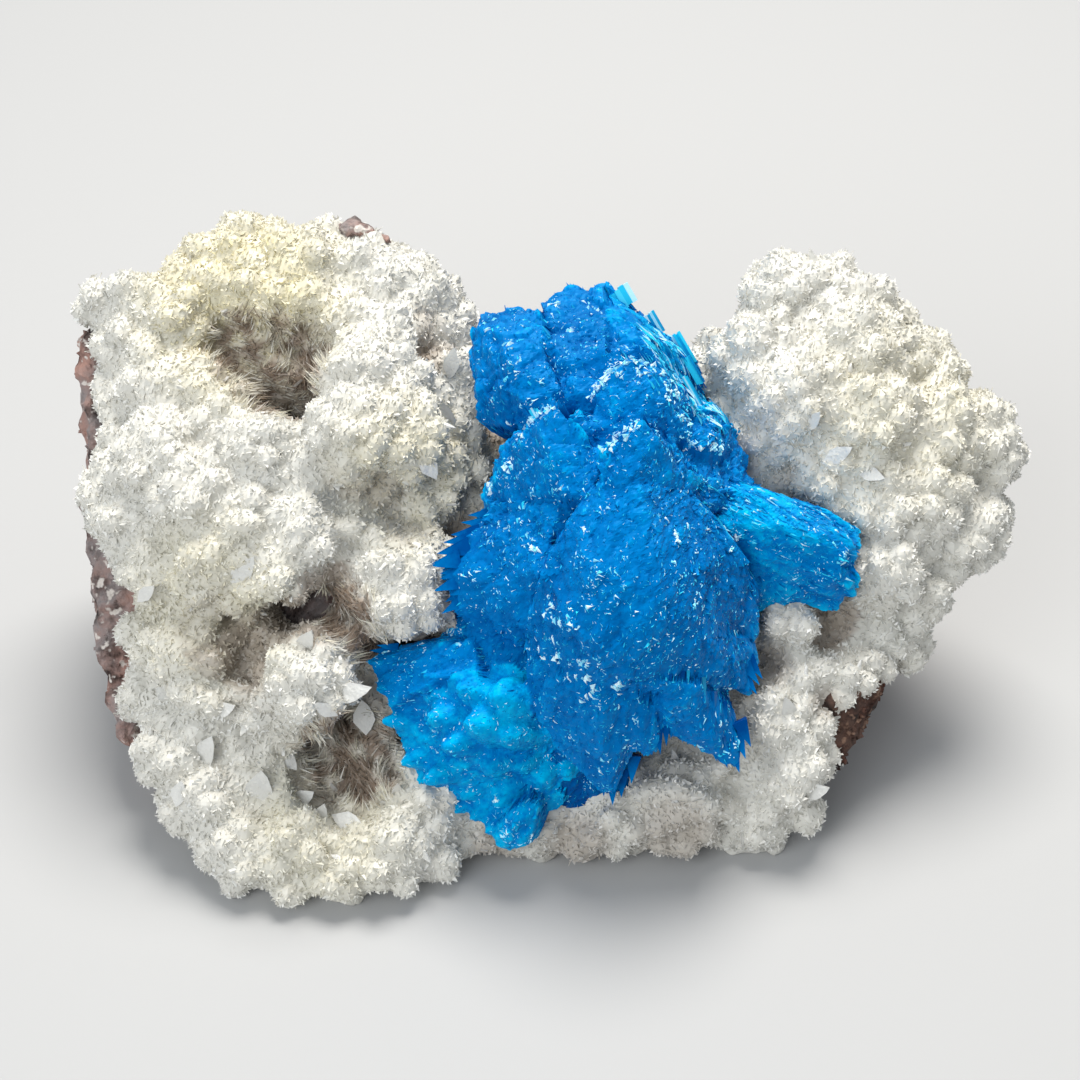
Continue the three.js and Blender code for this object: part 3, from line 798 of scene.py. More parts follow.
# Crystals of one kind over the sheaves: they stand out of a petal's cap and lie along its sides.
def crystalsOn(base, shades, shape, kind, weights):
    count = kind["count"]
    places, normals, nearest = spreadOver(base, count, weights)
    spots, facing = toFace(places), normals @ faceAxes.T
    headings = unit(spots - ownFans[ownersOf(spots)])
    laid = cavansite["laid"] * (headings * facing).sum(1).clip(0, 1)
    headings = leaned(unit(headings - facing * laid[:, None]), cavansite["splay"])
    onCap = (headings * facing).sum(1).clip(0, 1)
    width = chance.uniform(*kind["width"], count)
    length = chance.uniform(*kind["length"], count)
    onSide = cavansite["sideStandOut"]
    standOut = chance.uniform(*kind["standOut"], count) * (onSide + (1 - onSide) * onCap)
    ends = spots + headings * standOut[:, None]
    ends -= facing * (cavansite["sunk"] * width * (1 - onCap))[:, None]
    sizes = np.stack([width, width * chance.uniform(*cavansite["depth"], count), length], 1)
    pick = chance.random(count)
    fleckAndGlint = np.where(pick < cavansite["fleckedAndGlinting"], chance.uniform(*cavansite["fleckAndGlint"], count),
                     np.where(pick < cavansite["speckedAndGlinting"], chance.uniform(*cavansite["speckAndGlint"], count), 0))
    return copiesOf("crystals", shape, fromFace(ends - headings * length[:, None]),
                    axesAlong(headings) @ faceAxes, sizes * mm,
                    {"tone": chance.random(count), "fleckAndGlint": fleckAndGlint, "shade": shades[nearest]})


def cavansiteCrystals(base, shades, blockers):
    free = openness(base, blockers, cavansite["clear"])
    spots, facing = toFace(placesOf(base)), normalsOf(base) @ faceAxes.T
    owners = ownersOf(spots)
    across = np.abs((unit(spots - ownFans[owners]) * facing).sum(1))
    low, high = cavansite["rim"]
    rim = free * ((across > low) & (across < high)) * (ownShades[owners] < cavansite["rimShade"])
    fine = crystalsOn(base, shades, bladeShape(), cavansite["crystals"], free)
    teeth = crystalsOn(base, shades, prismShape(taper=0.2, slant=0.2), cavansite["teeth"], rim)
    return fine, teeth


# Where the cluster glitters with white flecks and painted glints: (across, up, radius, number of flakes,
# their slope in degrees).
glitter = [
    (5, 16, 1.5, 26, 55), (7, 17.5, 1.5, 34, 35), (9.5, 17.5, 1.5, 24, -10), (11.5, 16, 1.5, 22, -40),
    (8.5, 15, 2.5, 24, -30), (-1, 13, 1.5, 22, 40), (0.5, 13.5, 0.5, 14, 40), (-3.5, 11.5, 1, 10, 40),
    (6, 11, 1, 16, 35), (7.5, 12, 1, 18, 35), (-5, 7, 1, 9, 60), (-4, 8, 1, 8, 50), (13, 10.5, 1, 14, 10),
    (15, 10.5, 1, 18, 20), (13, 13, 1, 10, -50), (10, 11.5, 1.5, 10, -40), (1.5, 0, 5.5, 46, -62),
    (8.5, 0, 6.5, 46, -62), (0, -8.5, 2, 30, -55), (3, -9, 2, 30, -60), (5, -11.5, 2, 30, -55),
    (2.5, -4.5, 2, 22, -62), (13, 2, 1.5, 20, -40), (13, -2.5, 2, 18, -60), (17.5, 1.5, 1.5, 10, -30),
    (8.5, -7, 3.5, 30, -60), (1.5, -16, 2.5, 26, -70), (5, -19.5, 2, 14, -60), (8.5, -15.5, 2, 20, -50),
    (15.5, -16, 2, 22, -50), (13.5, -12.5, 3.5, 28, -60), (-4.5, 21.5, 1.5, 14, 20), (-3, 19, 1.5, 14, 30),
    (0, 23, 1.5, 8, 20), (3, 23, 2.5, 12, 0), (1.5, 19, 2.5, 18, 20), (4, 20.5, 2, 16, 10),
    (-3, 16, 2, 14, 20), (1.5, 16.5, 2, 10, 10), (-8, -7, 1, 20, 35), (-10.5, -7, 1.5, 10, 5),
    (-13.5, -7.5, 1.5, 8, 5), (-9.5, -12.5, 3.5, 22, 50), (-10, -16, 3.5, 20, 40), (-6.5, -20.5, 3, 20, 60),
    (-2.5, -24.5, 1.5, 20, 60), (-2, 6, 3.5, 26, -50), (2, 5.5, 3.5, 22, -60), (-6.5, -2.5, 2.5, 16, -20),
    (-4, 0, 3.5, 18, -50), (21.5, 2.5, 3, 14, -35), (26, 0, 2, 14, -40), (24, -2.5, 2, 8, -40),
]
# Its four kinds of glitter, light slivers that are white crystal and painted glint, in millimetres and
# degrees, and what they share.
glints = {
    "flakes": {"length": [0.2, 0.9], "width": [0.14, 0.45], "turn": 45, "gather": 0.5, "together": 4,
               "fleckAndGlint": [0.45, 1]},
    "specks": {"count": 7200, "size": [0.05, 0.12], "longer": [2, 5.5], "gather": 1.1, "together": 6,
               "fleckAndGlint": 0.9},
    "rims": {"each": 6, "spread": 0.24, "turn": 25, "shorter": [0.35, 1.05], "width": [0.2, 0.6],
             "fleckAndGlint": [0.6, 1]},
    "streaks": {"turn": 3, "shorter": [0.15, 1], "width": [0.1, 0.3], "fleckAndGlint": 0.9, "facing": 0.1},
    "depth": 0.8, "sunk": 0.2, "shade": 0.6,
    # Flakes and specks lie where the surface faces out by more than this, and no deeper than that.
    "facing": 0.35, "deepest": -4,
}
# Bright streaks along its striated flanks: (across, up) from and to, half width, count, slope, longest.
streaks = [
    (10, 20.5, 15.2, 12.8, 1.3, 560, 121, 2.8), (7.5, 20, 12.5, 14, 1.6, 140, 118, 1.6),
    (16, 5, 27, 0.5, 2.6, 120, -24, 1.6), (14.5, 6.5, 19, 4.5, 0.8, 50, -30, 1.4),
]
# Clumps of flakes along its petals' upper edges: (across, up, length, slope).
rims = [
    (4.2, 14.6, 0.6, 60), (4.7, 15.4, 0.9, 50), (5.3, 16.1, 1.1, 45), (5.8, 16.6, 0.8, 40), (6.3, 17, 1, 30),
    (7.1, 17.4, 0.9, 15), (7.9, 17.7, 0.8, 0), (8.8, 17.5, 0.7, -15), (9.6, 17.2, 0.8, -25),
    (10.4, 16.6, 0.7, -35), (11.1, 15.7, 0.7, -45), (11.6, 14.6, 0.8, -50), (6.6, 16.3, 0.7, 40),
    (8.2, 16.7, 0.6, 0), (10.8, 14.4, 0.7, -30), (-2.3, 11.1, 0.7, 45), (-1.5, 12, 0.9, 42),
    (-0.9, 12.6, 1.1, 42), (-0.3, 13.1, 0.9, 40), (0.3, 13.5, 0.8, 35), (5.2, 9.6, 0.9, 38),
    (5.9, 10.2, 1.1, 38), (6.7, 10.8, 1.2, 36), (7.4, 11.4, 1.1, 36), (8, 11.9, 0.8, 40), (12, 12.6, 0.8, 15),
    (12.7, 12.4, 0.6, 0), (13, 10.4, 1, 10), (13.5, 10, 0.8, -10), (15, 10.2, 1, 15), (15.7, 10, 1.1, 25),
    (-5.2, 7.5, 1.1, 80), (-5, 6.6, 0.8, 70), (-3.5, 8, 1, 60), (-3.1, 8.6, 0.7, 60), (-0.8, 0.9, 1, -55),
    (0.4, -4.3, 1, -50), (2.5, -5.8, 0.9, -60), (3.6, -10.4, 1.2, -55), (4.1, -11.4, 1.1, -60),
    (6.3, -11, 1.2, -30), (0.9, -8.6, 0.8, -50), (3.2, -8.9, 0.9, -70), (11.5, 2, 0.9, -40),
    (17.1, 2.1, 0.8, -40), (-4.3, 22.8, 0.9, 20), (-3.3, 23.1, 0.8, 10), (-3.2, 19.2, 0.8, 45),
    (4.4, 23, 0.7, 20), (0.9, 23.6, 0.7, 20),
]
# Blocky crystals on its upper right edge, of laths side by side: (across, up, width, depth, length).
blocks = [
    (6.7, 25.2, 2, 1.5, 1.9), (9.6, 23.2, 1.1, 1, 2.2), (11.9, 20.7, 1, 0.8, 3.2),
    (12.8, 18.6, 0.8, 0.6, 2.8), (12.6, 16.6, 0.6, 0.4, 3), (-1.2, 13.6, 0.8, 0.7, 1.4),
]
# Their flecks are white crystal and painted highlight.
block = {
    "heading": (-0.5, 0.85, 0.1), "laths": 4, "overlap": 1.04, "sunk": 0.15, "beside": 0.4,
    "uneven": [-0.3, 0.1], "depth": [0.7, 1.15], "fleckAndGlint": [0.05, 0.85],
}


def sliverShape():       # a long, low crystal lying along Z, with its back up along Y
    return templateOf(hullOf([(-0.5, 0, 0.1), (0.5, 0, 0), (0.15, 0, 1), (0, 1, 0.4)]))


def flakesAt(name, spots, facing, slopes, length, width, fleckAndGlint):     # thin flakes that lie on the surface
    along = np.stack([np.cos(slopes), np.sin(slopes), np.zeros(len(slopes))], 1)
    along = unit(along - facing * (along * facing).sum(1)[:, None])
    axes = np.stack([np.cross(facing, along), facing, along], 1) @ faceAxes
    sizes = np.stack([width, glints["depth"] * width, length], 1)
    starts = fromFace(spots - along * (length / 2)[:, None] - facing * (glints["sunk"] * width)[:, None])
    shades = np.full(len(spots), glints["shade"])
    return copiesOf(name, sliverShape(), starts, axes, sizes * mm,
                    {"tone": chance.random(len(spots)), "fleckAndGlint": fleckAndGlint, "shade": shades})


def flakeGroups(spots, facing, bright):    # flakes in little groups where the cluster glitters
    kind, picked, slopes = glints["flakes"], [], []
    together = kind["together"]
    for across, up, radius, count, slope in glitter:
        near = np.flatnonzero(bright * (np.hypot(spots[:, 0] - across, spots[:, 1] - up) < radius))
        for middle in chance.choice(near, len(near) and math.ceil(count / together)):
            away = np.linalg.norm(spots[near] - spots[middle], axis=1)
            picked.append(chance.choice(near[away < kind["gather"]], together))
            slopes.append(np.radians(slope + chance.normal(0, kind["turn"], together)))
    picked, slopes = np.concatenate(picked), np.concatenate(slopes)
    count = len(picked)
    size = chance.random(count) ** 3     # most are small
    length = kind["length"][0] + size * np.ptp(kind["length"])
    width = kind["width"][0] + size * chance.random(count) * np.ptp(kind["width"])
    fleckAndGlint = chance.uniform(*kind["fleckAndGlint"], count)
    return flakesAt("flakes", spots[picked], facing[picked], slopes, length, width, fleckAndGlint)


def specksOver(spots, facing, bright):     # the finest glitter, all over its lit side
    kind, picked = glints["specks"], []
    shining = np.flatnonzero(bright)
    finder = finderOf(spots[shining])
    for middle in chance.choice(shining, kind["count"] // kind["together"]):
        close = finder.find_range(spots[middle], kind["gather"])
        picked.append(chance.choice([shining[index] for spot, index, distance in close], kind["together"]))
    picked = np.concatenate(picked)
    count = len(picked)
    size = chance.uniform(*kind["size"], count)
    slopes = chance.uniform(0, math.pi, count)
    length = size * chance.uniform(*kind["longer"], count)
    fleckAndGlint = chance.random(count) ** 1.3 * kind["fleckAndGlint"]
    return flakesAt("specks", spots[picked], facing[picked], slopes, length, size, fleckAndGlint)


def rimFlakes(tree):
    kind = glints["rims"]
    rows = np.repeat(np.array(rims), kind["each"], axis=0)
    rows[:, :2] += chance.normal(0, kind["spread"], (len(rows), 2))
    hits = [castAt(tree, [row[0], row[1], wellOut]) for row in rows]
    rows = rows[[hit[0] is not None for hit in hits]]      # a few miss the cluster
    hits = [hit for hit in hits if hit[0] is not None]
    count = len(rows)
    spots = toFace(np.array([hit[0] for hit in hits]))
    facing = np.array([hit[1] for hit in hits]) @ faceAxes.T
    slopes = np.radians(rows[:, 3] + chance.normal(0, kind["turn"], count))
    length = rows[:, 2] * chance.uniform(*kind["shorter"], count)
    width = chance.uniform(*kind["width"], count)
    return flakesAt("rims", spots, facing, slopes, length, width, chance.uniform(*kind["fleckAndGlint"], count))


def streakFlakes(spots, facing, free, ends, half, count, slope, longest):
    kind = glints["streaks"]
    start, run = np.array(ends[:2]), np.array(ends[2:]) - ends[:2]
    along = ((spots[:, :2] - start) @ run / (run @ run)).clip(0, 1)
    aside = np.linalg.norm(spots[:, :2] - start - along[:, None] * run, axis=1)
    near = np.flatnonzero(free * (aside < half) * (facing[:, 2] > kind["facing"]))
    picked = chance.choice(near, count)
    slopes = np.radians(slope + chance.normal(0, kind["turn"], count))
    length = longest * chance.uniform(*kind["shorter"], count) ** 1.5
    width = chance.uniform(*kind["width"], count)
    fleckAndGlint = chance.random(count) ** 1.2 * kind["fleckAndGlint"]
    return flakesAt("streaks", spots[picked], facing[picked], slopes, length, width, fleckAndGlint)


def cavansiteGlitter(base, blockers):
    free = openness(base, blockers, cavansite["clear"])
    spots, facing = toFace(placesOf(base)), normalsOf(base) @ faceAxes.T
    bright = free * (facing[:, 2] > glints["facing"]) * (spots[:, 2] > glints["deepest"])
    parts = [flakeGroups(spots, facing, bright), specksOver(spots, facing, bright), rimFlakes(treeOf(base))]
    for *ends, half, count, slope, longest in streaks:
        parts.append(streakFlakes(spots, facing, free, ends, half, count, slope, longest))
    return joined("glitter", parts)


def cavansiteSpikes():   # each spike has shorter ones on both sides
    rows = np.repeat(np.array(spikes), len(spike["asides"]), axis=0)
    headings = unit(rows[:, :3] - ownFans[ownersOf(rows[:, :3])])
    aside = unit(np.cross([0, 0, 1], headings))
    place = np.tile(spike["asides"], len(spikes)) + chance.uniform(*spike["uneven"], len(rows))
    back = np.abs(place) * chance.uniform(*spike["back"], len(rows))
    rows[:, :3] += (aside * place[:, None] - headings * back[:, None]) * rows[:, 3:4]
    headings = leaned(headings, spike["lean"])
    aside = unit(np.cross([0, 0, 1], headings))
    sizes = np.stack([spike["width"] * rows[:, 3], spike["depth"] * rows[:, 3], rows[:, 4]], 1)
    axes = np.stack([aside, np.cross(headings, aside), headings], 1)
    values = {"tone": chance.random(len(rows)), "fleckAndGlint": np.zeros(len(rows)),
              "shade": np.full(len(rows), spike["shade"])}
    starts = fromFace(rows[:, :3] - headings * rows[:, 4:5])
    return copiesOf("spikes", prismShape(taper=0.06, slant=0.08), starts, axes @ faceAxes, sizes * mm, values)


def cavansiteBlocks(tree):
    heading, each = unit(np.array(block["heading"])), block["laths"]
    aside = unit(np.cross([0, 0, 1], heading))
    out = np.cross(heading, aside)
    rows = []
    for across, up, width, depth, length in blocks:       # each lies on the surface below it
        spot = castAt(tree, np.array([across, up, wellOut]) - heading + block["beside"] * aside)[0]
        if spot is None:
            print("block off the cluster:", across, up)
            continue
        rows.append([across, up, toFace(np.array(spot))[2] - block["sunk"] * depth, width, depth, length])
    rows = np.array(rows)
    laths = np.repeat(rows, each, axis=0)
    count = len(laths)
    place = np.tile(np.arange(each) - (each - 1) / 2, len(rows)) / each
    ends = laths[:, :3] + aside * (place * laths[:, 3])[:, None]
    ends += heading * chance.uniform(*block["uneven"], count)[:, None]
    axes = np.tile(np.stack([aside, out, heading]) @ faceAxes, (count, 1, 1))
    width, depth = laths[:, 3] / each * block["overlap"], laths[:, 4] * chance.uniform(*block["depth"], count)
    sizes = np.stack([width, depth, laths[:, 5]], 1)
    values = {"tone": chance.random(count), "fleckAndGlint": chance.uniform(*block["fleckAndGlint"], count),
              "shade": np.ones(count)}
    starts = fromFace(ends - heading * laths[:, 5:6])
    return copiesOf("blocks", prismShape(taper=0.96, slant=0.01), starts, axes, sizes * mm, values)


# The druse's mounds on the display face, (across, up, out, radius) in millimetres.
mounds = [
    # the left druse
    (-41.2, 23.8, -8, 3), (-38, 24, -7, 3.5), (-39, 20, -7, 3.4), (-34.5, 22.5, -5, 3.5),
    (-31.5, 26, -9, 4.9), (-28, 26.5, -9, 6.2), (-23, 26, -7, 5.6), (-20, 28, -9, 4.5), (-16.5, 26, -8, 5.1),
    (-12.5, 24, -8, 4.6), (-10.5, 22.5, -9, 4.3), (-15, 21, -4, 3.7), (-19, 21.5, -5, 3.3),
    (-39.2, 15, -6.6, 3.2), (-35.5, 16, -4, 4.2), (-33, 16.8, -3.5, 3.2), (-30, 13, -3, 4.1),
    (-35, 9, -1, 4.6), (-37.5, 3.5, -3, 4.4), (-31, 5.5, 1, 4.7), (-35, -0.5, -2, 4.2), (-30, -0.5, 1, 4.3),
    (-25.5, 10, 1, 4.2), (-26, 3.5, 2, 4.1), (-16.8, 16.4, 0, 4.3), (-13.5, 16, -1, 3.8), (-17, 11.5, 2, 5),
    (-12.5, 11, 1, 4.2), (-22, 7, 1, 3.8), (-21, 2, 3, 3.4), (-23.5, -0.5, 3, 3.6), (-26.5, -2.5, 1, 2.9),
    (-13, -2.5, 2, 4.7), (-10.5, -1.5, 0, 3.8), (-17, -1.5, 0, 3.1), (-11.5, 5.5, -5, 4.5),
    (-9.5, 13, -10, 3.8), (-8.5, 20, -10, 3.4), (-7.5, 9, -9, 4.5), (-7, 3, -8, 4), (-17.5, 2.5, -1, 4.3),
    (-27, -7.5, -4.6, 4.4), (-32.5, -8.5, -1, 4.2), (-36.3, -7.5, -4, 3.2), (-30.5, -13, -2, 4),
    (-36.4, -13, -5, 3.2), (-21.5, -11, 2, 4.9), (-19.5, -8.5, 1, 3.4), (-24, -13.5, 0, 3.5),
    (-33.8, -17.5, -3, 4.1), (-31, -22, -2, 4.2), (-33.2, -22.5, -5, 2.7), (-26.5, -19.5, -3, 3.9),
    (-27.5, -26.5, -1, 4.2), (-22.5, -25.5, 0, 3.8), (-23, -29, 0, 2.8), (-18.5, -28.5, 0, 3.3),
    (-18, -23.5, -3, 2.8), (-14, -26.5, 0, 4), (-10.5, -22, -2, 4.2), (-10.5, -27, -2, 3.3),
    (-8.5, -24.5, -5, 3.3), (-13.5, -20, -7, 3.8), (-7, -26.5, -6, 1.9), (-39.5, 5.5, -4, 4.1),
    (-38.3, 9.5, -4.5, 3.5), (-37.6, 1.5, -5, 3.5), (-30, 24.8, -5.2, 3), (-26.5, 24.3, -4.4, 3.2),
    (-22.5, 23.8, -4, 3), (-18.5, 22.3, -3.6, 2.8), (-27.5, 19, -8, 4.2), (-23.5, 18, -8, 4.6),
    (-8.6, 16.5, -5.5, 3.2), (-8.4, 12.5, -4.6, 3.4), (-8, 9, -4, 3), (-16.2, -8.6, -3.2, 3),
    (-15, -13.5, -4.5, 3), (-12, 4.2, -3.2, 3.4), (-19, -18.5, -8.4, 4.2), (-9.4, -5.2, 0.6, 1.9),
    (-12.2, -6.2, 0.4, 1.9), (-8.2, -5.8, 1, 1.3), (15.2, 16.4, -9, 3.6),
    # the right druse
    (23, 25, -8, 4.5), (21.5, 24.5, -9, 3.4), (26, 25.5, -8, 3.8), (30, 23.2, -8, 4.2), (28.5, 19.5, -5, 5.1),
    (34, 19, -8, 4), (36, 18, -9, 3.8), (16, 20, -11, 2.6), (20, 18.5, -5, 4.6), (23.5, 14.5, -3, 5.5),
    (30, 13, -3, 5.3), (36, 12, -5, 4.8), (40.5, 12, -7, 4.2), (41.5, 10, -7, 3.7), (35, 5.5, -4, 4.6),
    (40.5, 3.5, -7, 3.9), (38, 1.5, -6, 3.7), (31, 5.5, -3, 4.4), (26.5, 7.5, -3, 3.7), (31.5, -0.5, -3, 4.1),
    (35.5, -3, -5, 2.6), (28.5, -3, -5, 3.3), (20, 12, -6, 4.7), (22.5, -5.5, -1, 2.9), (28.5, -7.5, -7, 3.8),
    (32, -7, -6, 2.6), (35, -5.5, -7, 2.3), (34, -8.5, -7, 2.3), (27, -11, -3, 3.3), (30, -10, -4, 2.2),
    (23.5, -11, -2, 3.3), (21, -14.5, -1, 3.5), (24.5, -16, -2, 2.8), (23, -19.5, -1, 3.3),
    (20, -19.5, -3, 2.8), (26, -18.5, -4, 2), (23.5, -23, -4, 2.4), (19.5, -23.5, -4, 3.3), (14, -22, 0, 2.7),
    (10.5, -21, 0, 2.2), (13.5, -25, -3, 2.4), (18, -26, -5, 2.2), (20.5, -26, -5, 2), (16.5, -19.5, -6, 3.4),
    # the middle druse
    (-6, -4, -9, 6.6), (7, 10.5, -12, 8.6), (18.5, 5.5, -9, 6.6), (1.5, 16, -15, 6), (9, -6, -10, 8.6),
    (18.5, -7.5, -8, 5.7), (1.5, -19, -9, 5.7), (11, -15, -8, 5.7), (-4, -13.5, -9, 5.7), (-5, -23, -5, 4.4),
    (3, -23.5, -4.5, 4.5), (10, -22.5, -4, 4.6), (-1, -24.5, -3.6, 3.6), (6.5, -24, -2.5, 3.6),
]

stilbite = {
    "voxel": 0.46 * mm, "inset": 0.1, "core": 1.3 * mm, "filled": 0.35 * mm, "bumps": [0.8 * mm, 0.3 * mm],
    # The crystal clusters and how far they rise above a lowered base, in shares of their depth.
    "clusters": 1500, "clusterWidth": 1.6, "clusterDepth": 1.05,
    "clusterRise": [0.6, 1.2], "clusterBase": 0.55,
    "blades": 80000, "bladesPerPiece": 35000, "length": [0.2, 0.75], "thickness": [0.08, 0.15],
    "height": [0.5, 0.95], "lean": 22, "sunk": 0.6, "clear": 0.9 * mm, "lowest": 0.6 * mm,
    "laths": 0.4, "lathLength": [0.14, 0.26], "lathHeight": [0.7, 1.2], "lathLean": 50,
    "splay": 1.1, "combed": 0.9, "stained": [0.3, 1], "brownedAndShaded": 0.85,
    # The clefts' painted shade: the shelter that it starts at, how fast it grows from there and its most.
    "cleftShadeFrom": 0.1, "cleftShade": 5, "cleftShadeMost": 0.7,
}
# Stains on the druse, painted shadow on its low parts under the cluster, and its brown hollows: (across, up,
# radius, strength).
stains = [(-28, 24, 12, 1.0), (-12, 8, 9, 0.5), (-30, -4, 10, 0.5), (-20, -24, 10, 0.4), (33, 14, 12, 0.35)]
shadows = [
    (12, -25, 5, 0.45), (3, -26, 4, 0.5), (-4.5, -26.5, 3, 0.5), (20.5, -9.5, 2.5, 0.5), (25.5, -13, 2, 0.4),
]
# The last three hollows are painted shade as well as brown: a dark hole in the lower hollow, and the cleft
# left of the cluster.
hollows = [
    (-28, 19.5, 4, 1.0), (-24.5, 18, 5.5, 1.0), (-17.7, -18.2, 5.5, 1.3), (-17, -20.2, 2.6, 2.2),
    (-18, -4.8, 3.4, 1.6), (-16.2, -7.4, 2.4, 1.5),
]


def crustMesh():         # the crust, and the places and normals of the crystal clusters on it
    settings = stilbite
    voxel, filled = settings["voxel"], settings["filled"]
    balls = np.array(mounds) - [0, 0, 0, settings["inset"]]
    bm = bmesh.new()
    bmesh.ops.create_icosphere(bm, subdivisions=4, radius=1)
    upright = np.tile(np.eye(3), (len(balls), 1, 1))
    sizes = np.tile(balls[:, 3:4] * mm, (1, 3))
    lumps = copiesOf("lumps", templateOf(bm), fromFace(balls[:, :3]), upright, sizes, {})
    core = reworked(cadCopy("stilbite_crust"), [voxels(2 * voxel), displaced(-settings["core"])])
    crust = reworked(joined("crust", [lumps, core]), [
        voxels(1.2 * voxel),
        displaced(filled),     # out and back in fills the narrow gaps
        voxels(1.2 * voxel),
        displaced(-filled),
        voxels(voxel),
        smoothed(2),
    ])
    places, normals = placesOf(crust), normalsOf(crust)
    clusters, headings = spreadOver(crust, settings["clusters"], np.ones(len(places)))[:2]
    cluster, apart = nearestOf(clusters, places)
    own, away = chance.random(len(clusters))[cluster], apart / (settings["clusterWidth"] * mm)
    share = settings["clusterRise"][0] + np.ptp(settings["clusterRise"]) * own
    rise = settings["clusterDepth"] * ((1 - away ** 2).clip(0, 1) * share - settings["clusterBase"])
    movePlaces(crust, places + normals * rise[:, None] * mm)
    size, depth = settings["bumps"]
    crust = reworked(crust, [displaced(depth, 0.5, cloudTexture("bumps", size, 1))])
    keepAbove(crust, 0.05 * mm)
    return crust, clusters, headings


def nearSpots(spots, rows):    # 0 to 1: how near each face place is to the middle of one of the rows
    found = np.zeros(len(spots))
    for across, up, radius, strength in rows:
        away = np.hypot(spots[:, 0] - across, spots[:, 1] - up) / radius
        found = np.maximum(found, (1.8 * (1 - away)).clip(0, 1) * strength)
    return found


def tuftedAt(spots):     # 0 to 1: the light and dark tufts in the hollows
    across, up = spots[:, 0], spots[:, 1]
    waves = np.sin(1.7 * across + 1.4 * np.sin(1.1 * up)) * np.sin(1.5 * up + 1.3 * np.sin(0.9 * across))
    return (0.5 + 1.1 * waves).clip(0, 1)


def brownAndShadeAt(spots, shelter):     # 0 to 1: brown in the hollows, painted shade in their dark holes and sheltered clefts, painted shadow under the cluster
    tufted = nearSpots(spots, hollows) * (0.25 + tuftedAt(spots))
    sheltered = (stilbite["cleftShade"] * (shelter - stilbite["cleftShadeFrom"])).clip(0, stilbite["cleftShadeMost"])
    return np.maximum(np.maximum(tufted, sheltered), nearSpots(spots, shadows)).clip(0, 1)


def bladeShape():        # a thin crystal that widens upwards to a sharp, slanted edge
    return templateOf(hullOf([(0, -0.5, 0), (0, 0.5, 0), (-0.5, 0, 1), (0.5, 0, 0.8)]))


# How sheltered each place is, 0 to 1: the share of rays about its normal that soon meet the tree.
def shelterAt(places, normals, tree):
    rays, reach = 20, 9 * mm
    found = np.zeros(len(places))
    for index, (place, normal) in enumerate(zip(places, normals)):
        headings = unit(normal + unit(chance.normal(size=(rays, 3))))
        start = Vector(place + normal * 0.7 * mm)
        for heading in headings.tolist():
            distance = tree.ray_cast(start, Vector(heading), reach)[3]
            found[index] += 0 if distance is None else (1 - distance / reach) / rays
    finder = finderOf(places)
    around = [[index for spot, index, distance in finder.find_n(place, 5)] for place in places.tolist()]
    return np.median(found[np.array(around)], axis=1)


# Each place's share of the values at the three nearest sites.
def blendedFrom(sites, values, places):
    finder = finderOf(sites)
    blended = np.zeros(len(places))
    for index, place in enumerate(places.tolist()):
        near = finder.find_n(place, 3)
        weights = [1 / (distance + 0.1 * mm) for spot, number, distance in near]
        blended[index] = sum(w * values[n[1]] for w, n in zip(weights, near)) / sum(weights)
    return blended


def crustBlades(base, clusters, shelter, blockers):
    settings = stilbite
    count = settings["blades"]
    places, normals = spreadOver(base, count, openness(base, blockers, settings["clear"]))[:2]
    own = nearestOf(clusters, places)[0]
    lath = chance.random(count) < settings["laths"]      # the others are wider plates
    lean = np.where(lath, settings["lathLean"], settings["lean"])[:, None]
    headings = leaned(unit(normals + settings["splay"] * unit(places - clusters[own])), lean)
    grooming = unit(chance.normal(size=clusters.shape))[own]       # neighbours in a cluster lie alike
    aside = unit(np.cross(headings, unit(grooming + settings["combed"] * chance.normal(size=places.shape))))
    axes = np.stack([np.cross(aside, headings), aside, headings], 1)
    length = settings["length"][0] + chance.random(count) ** 1.6 * np.ptp(settings["length"])
    length = np.where(lath, chance.uniform(*settings["lathLength"], count), length)
    height = np.where(lath, chance.uniform(*settings["lathHeight"], count),
                      chance.uniform(*settings["height"], count))
    thickness = chance.uniform(*settings["thickness"], count)
    spots = toFace(places)
    values = {"tone": chance.random(count),
              "stain": nearSpots(spots, stains) * chance.uniform(*settings["stained"], count),
              # The blades take the hollows' brown, and the painted shade and shadow of the druse below them.
              "brownAndShade": settings["brownedAndShaded"] * brownAndShadeAt(spots, shelter[own])}
    starts = places - headings * (settings["sunk"] * height * mm)[:, None]
    sizes = np.stack([length, thickness, height], 1) * mm
    lowest = starts[:, 2] + (headings[:, 2] * height).clip(None, 0) * mm
    order = chance.permutation(np.flatnonzero(lowest > settings["lowest"]))
    step = settings["bladesPerPiece"]
    blade = bladeShape()
    return [
        copiesOf("blades", blade, starts[part], axes[part], sizes[part],
                 {key: value[part] for key, value in values.items()})
        for part in (order[i:i + step] for i in range(0, len(order), step))
    ]


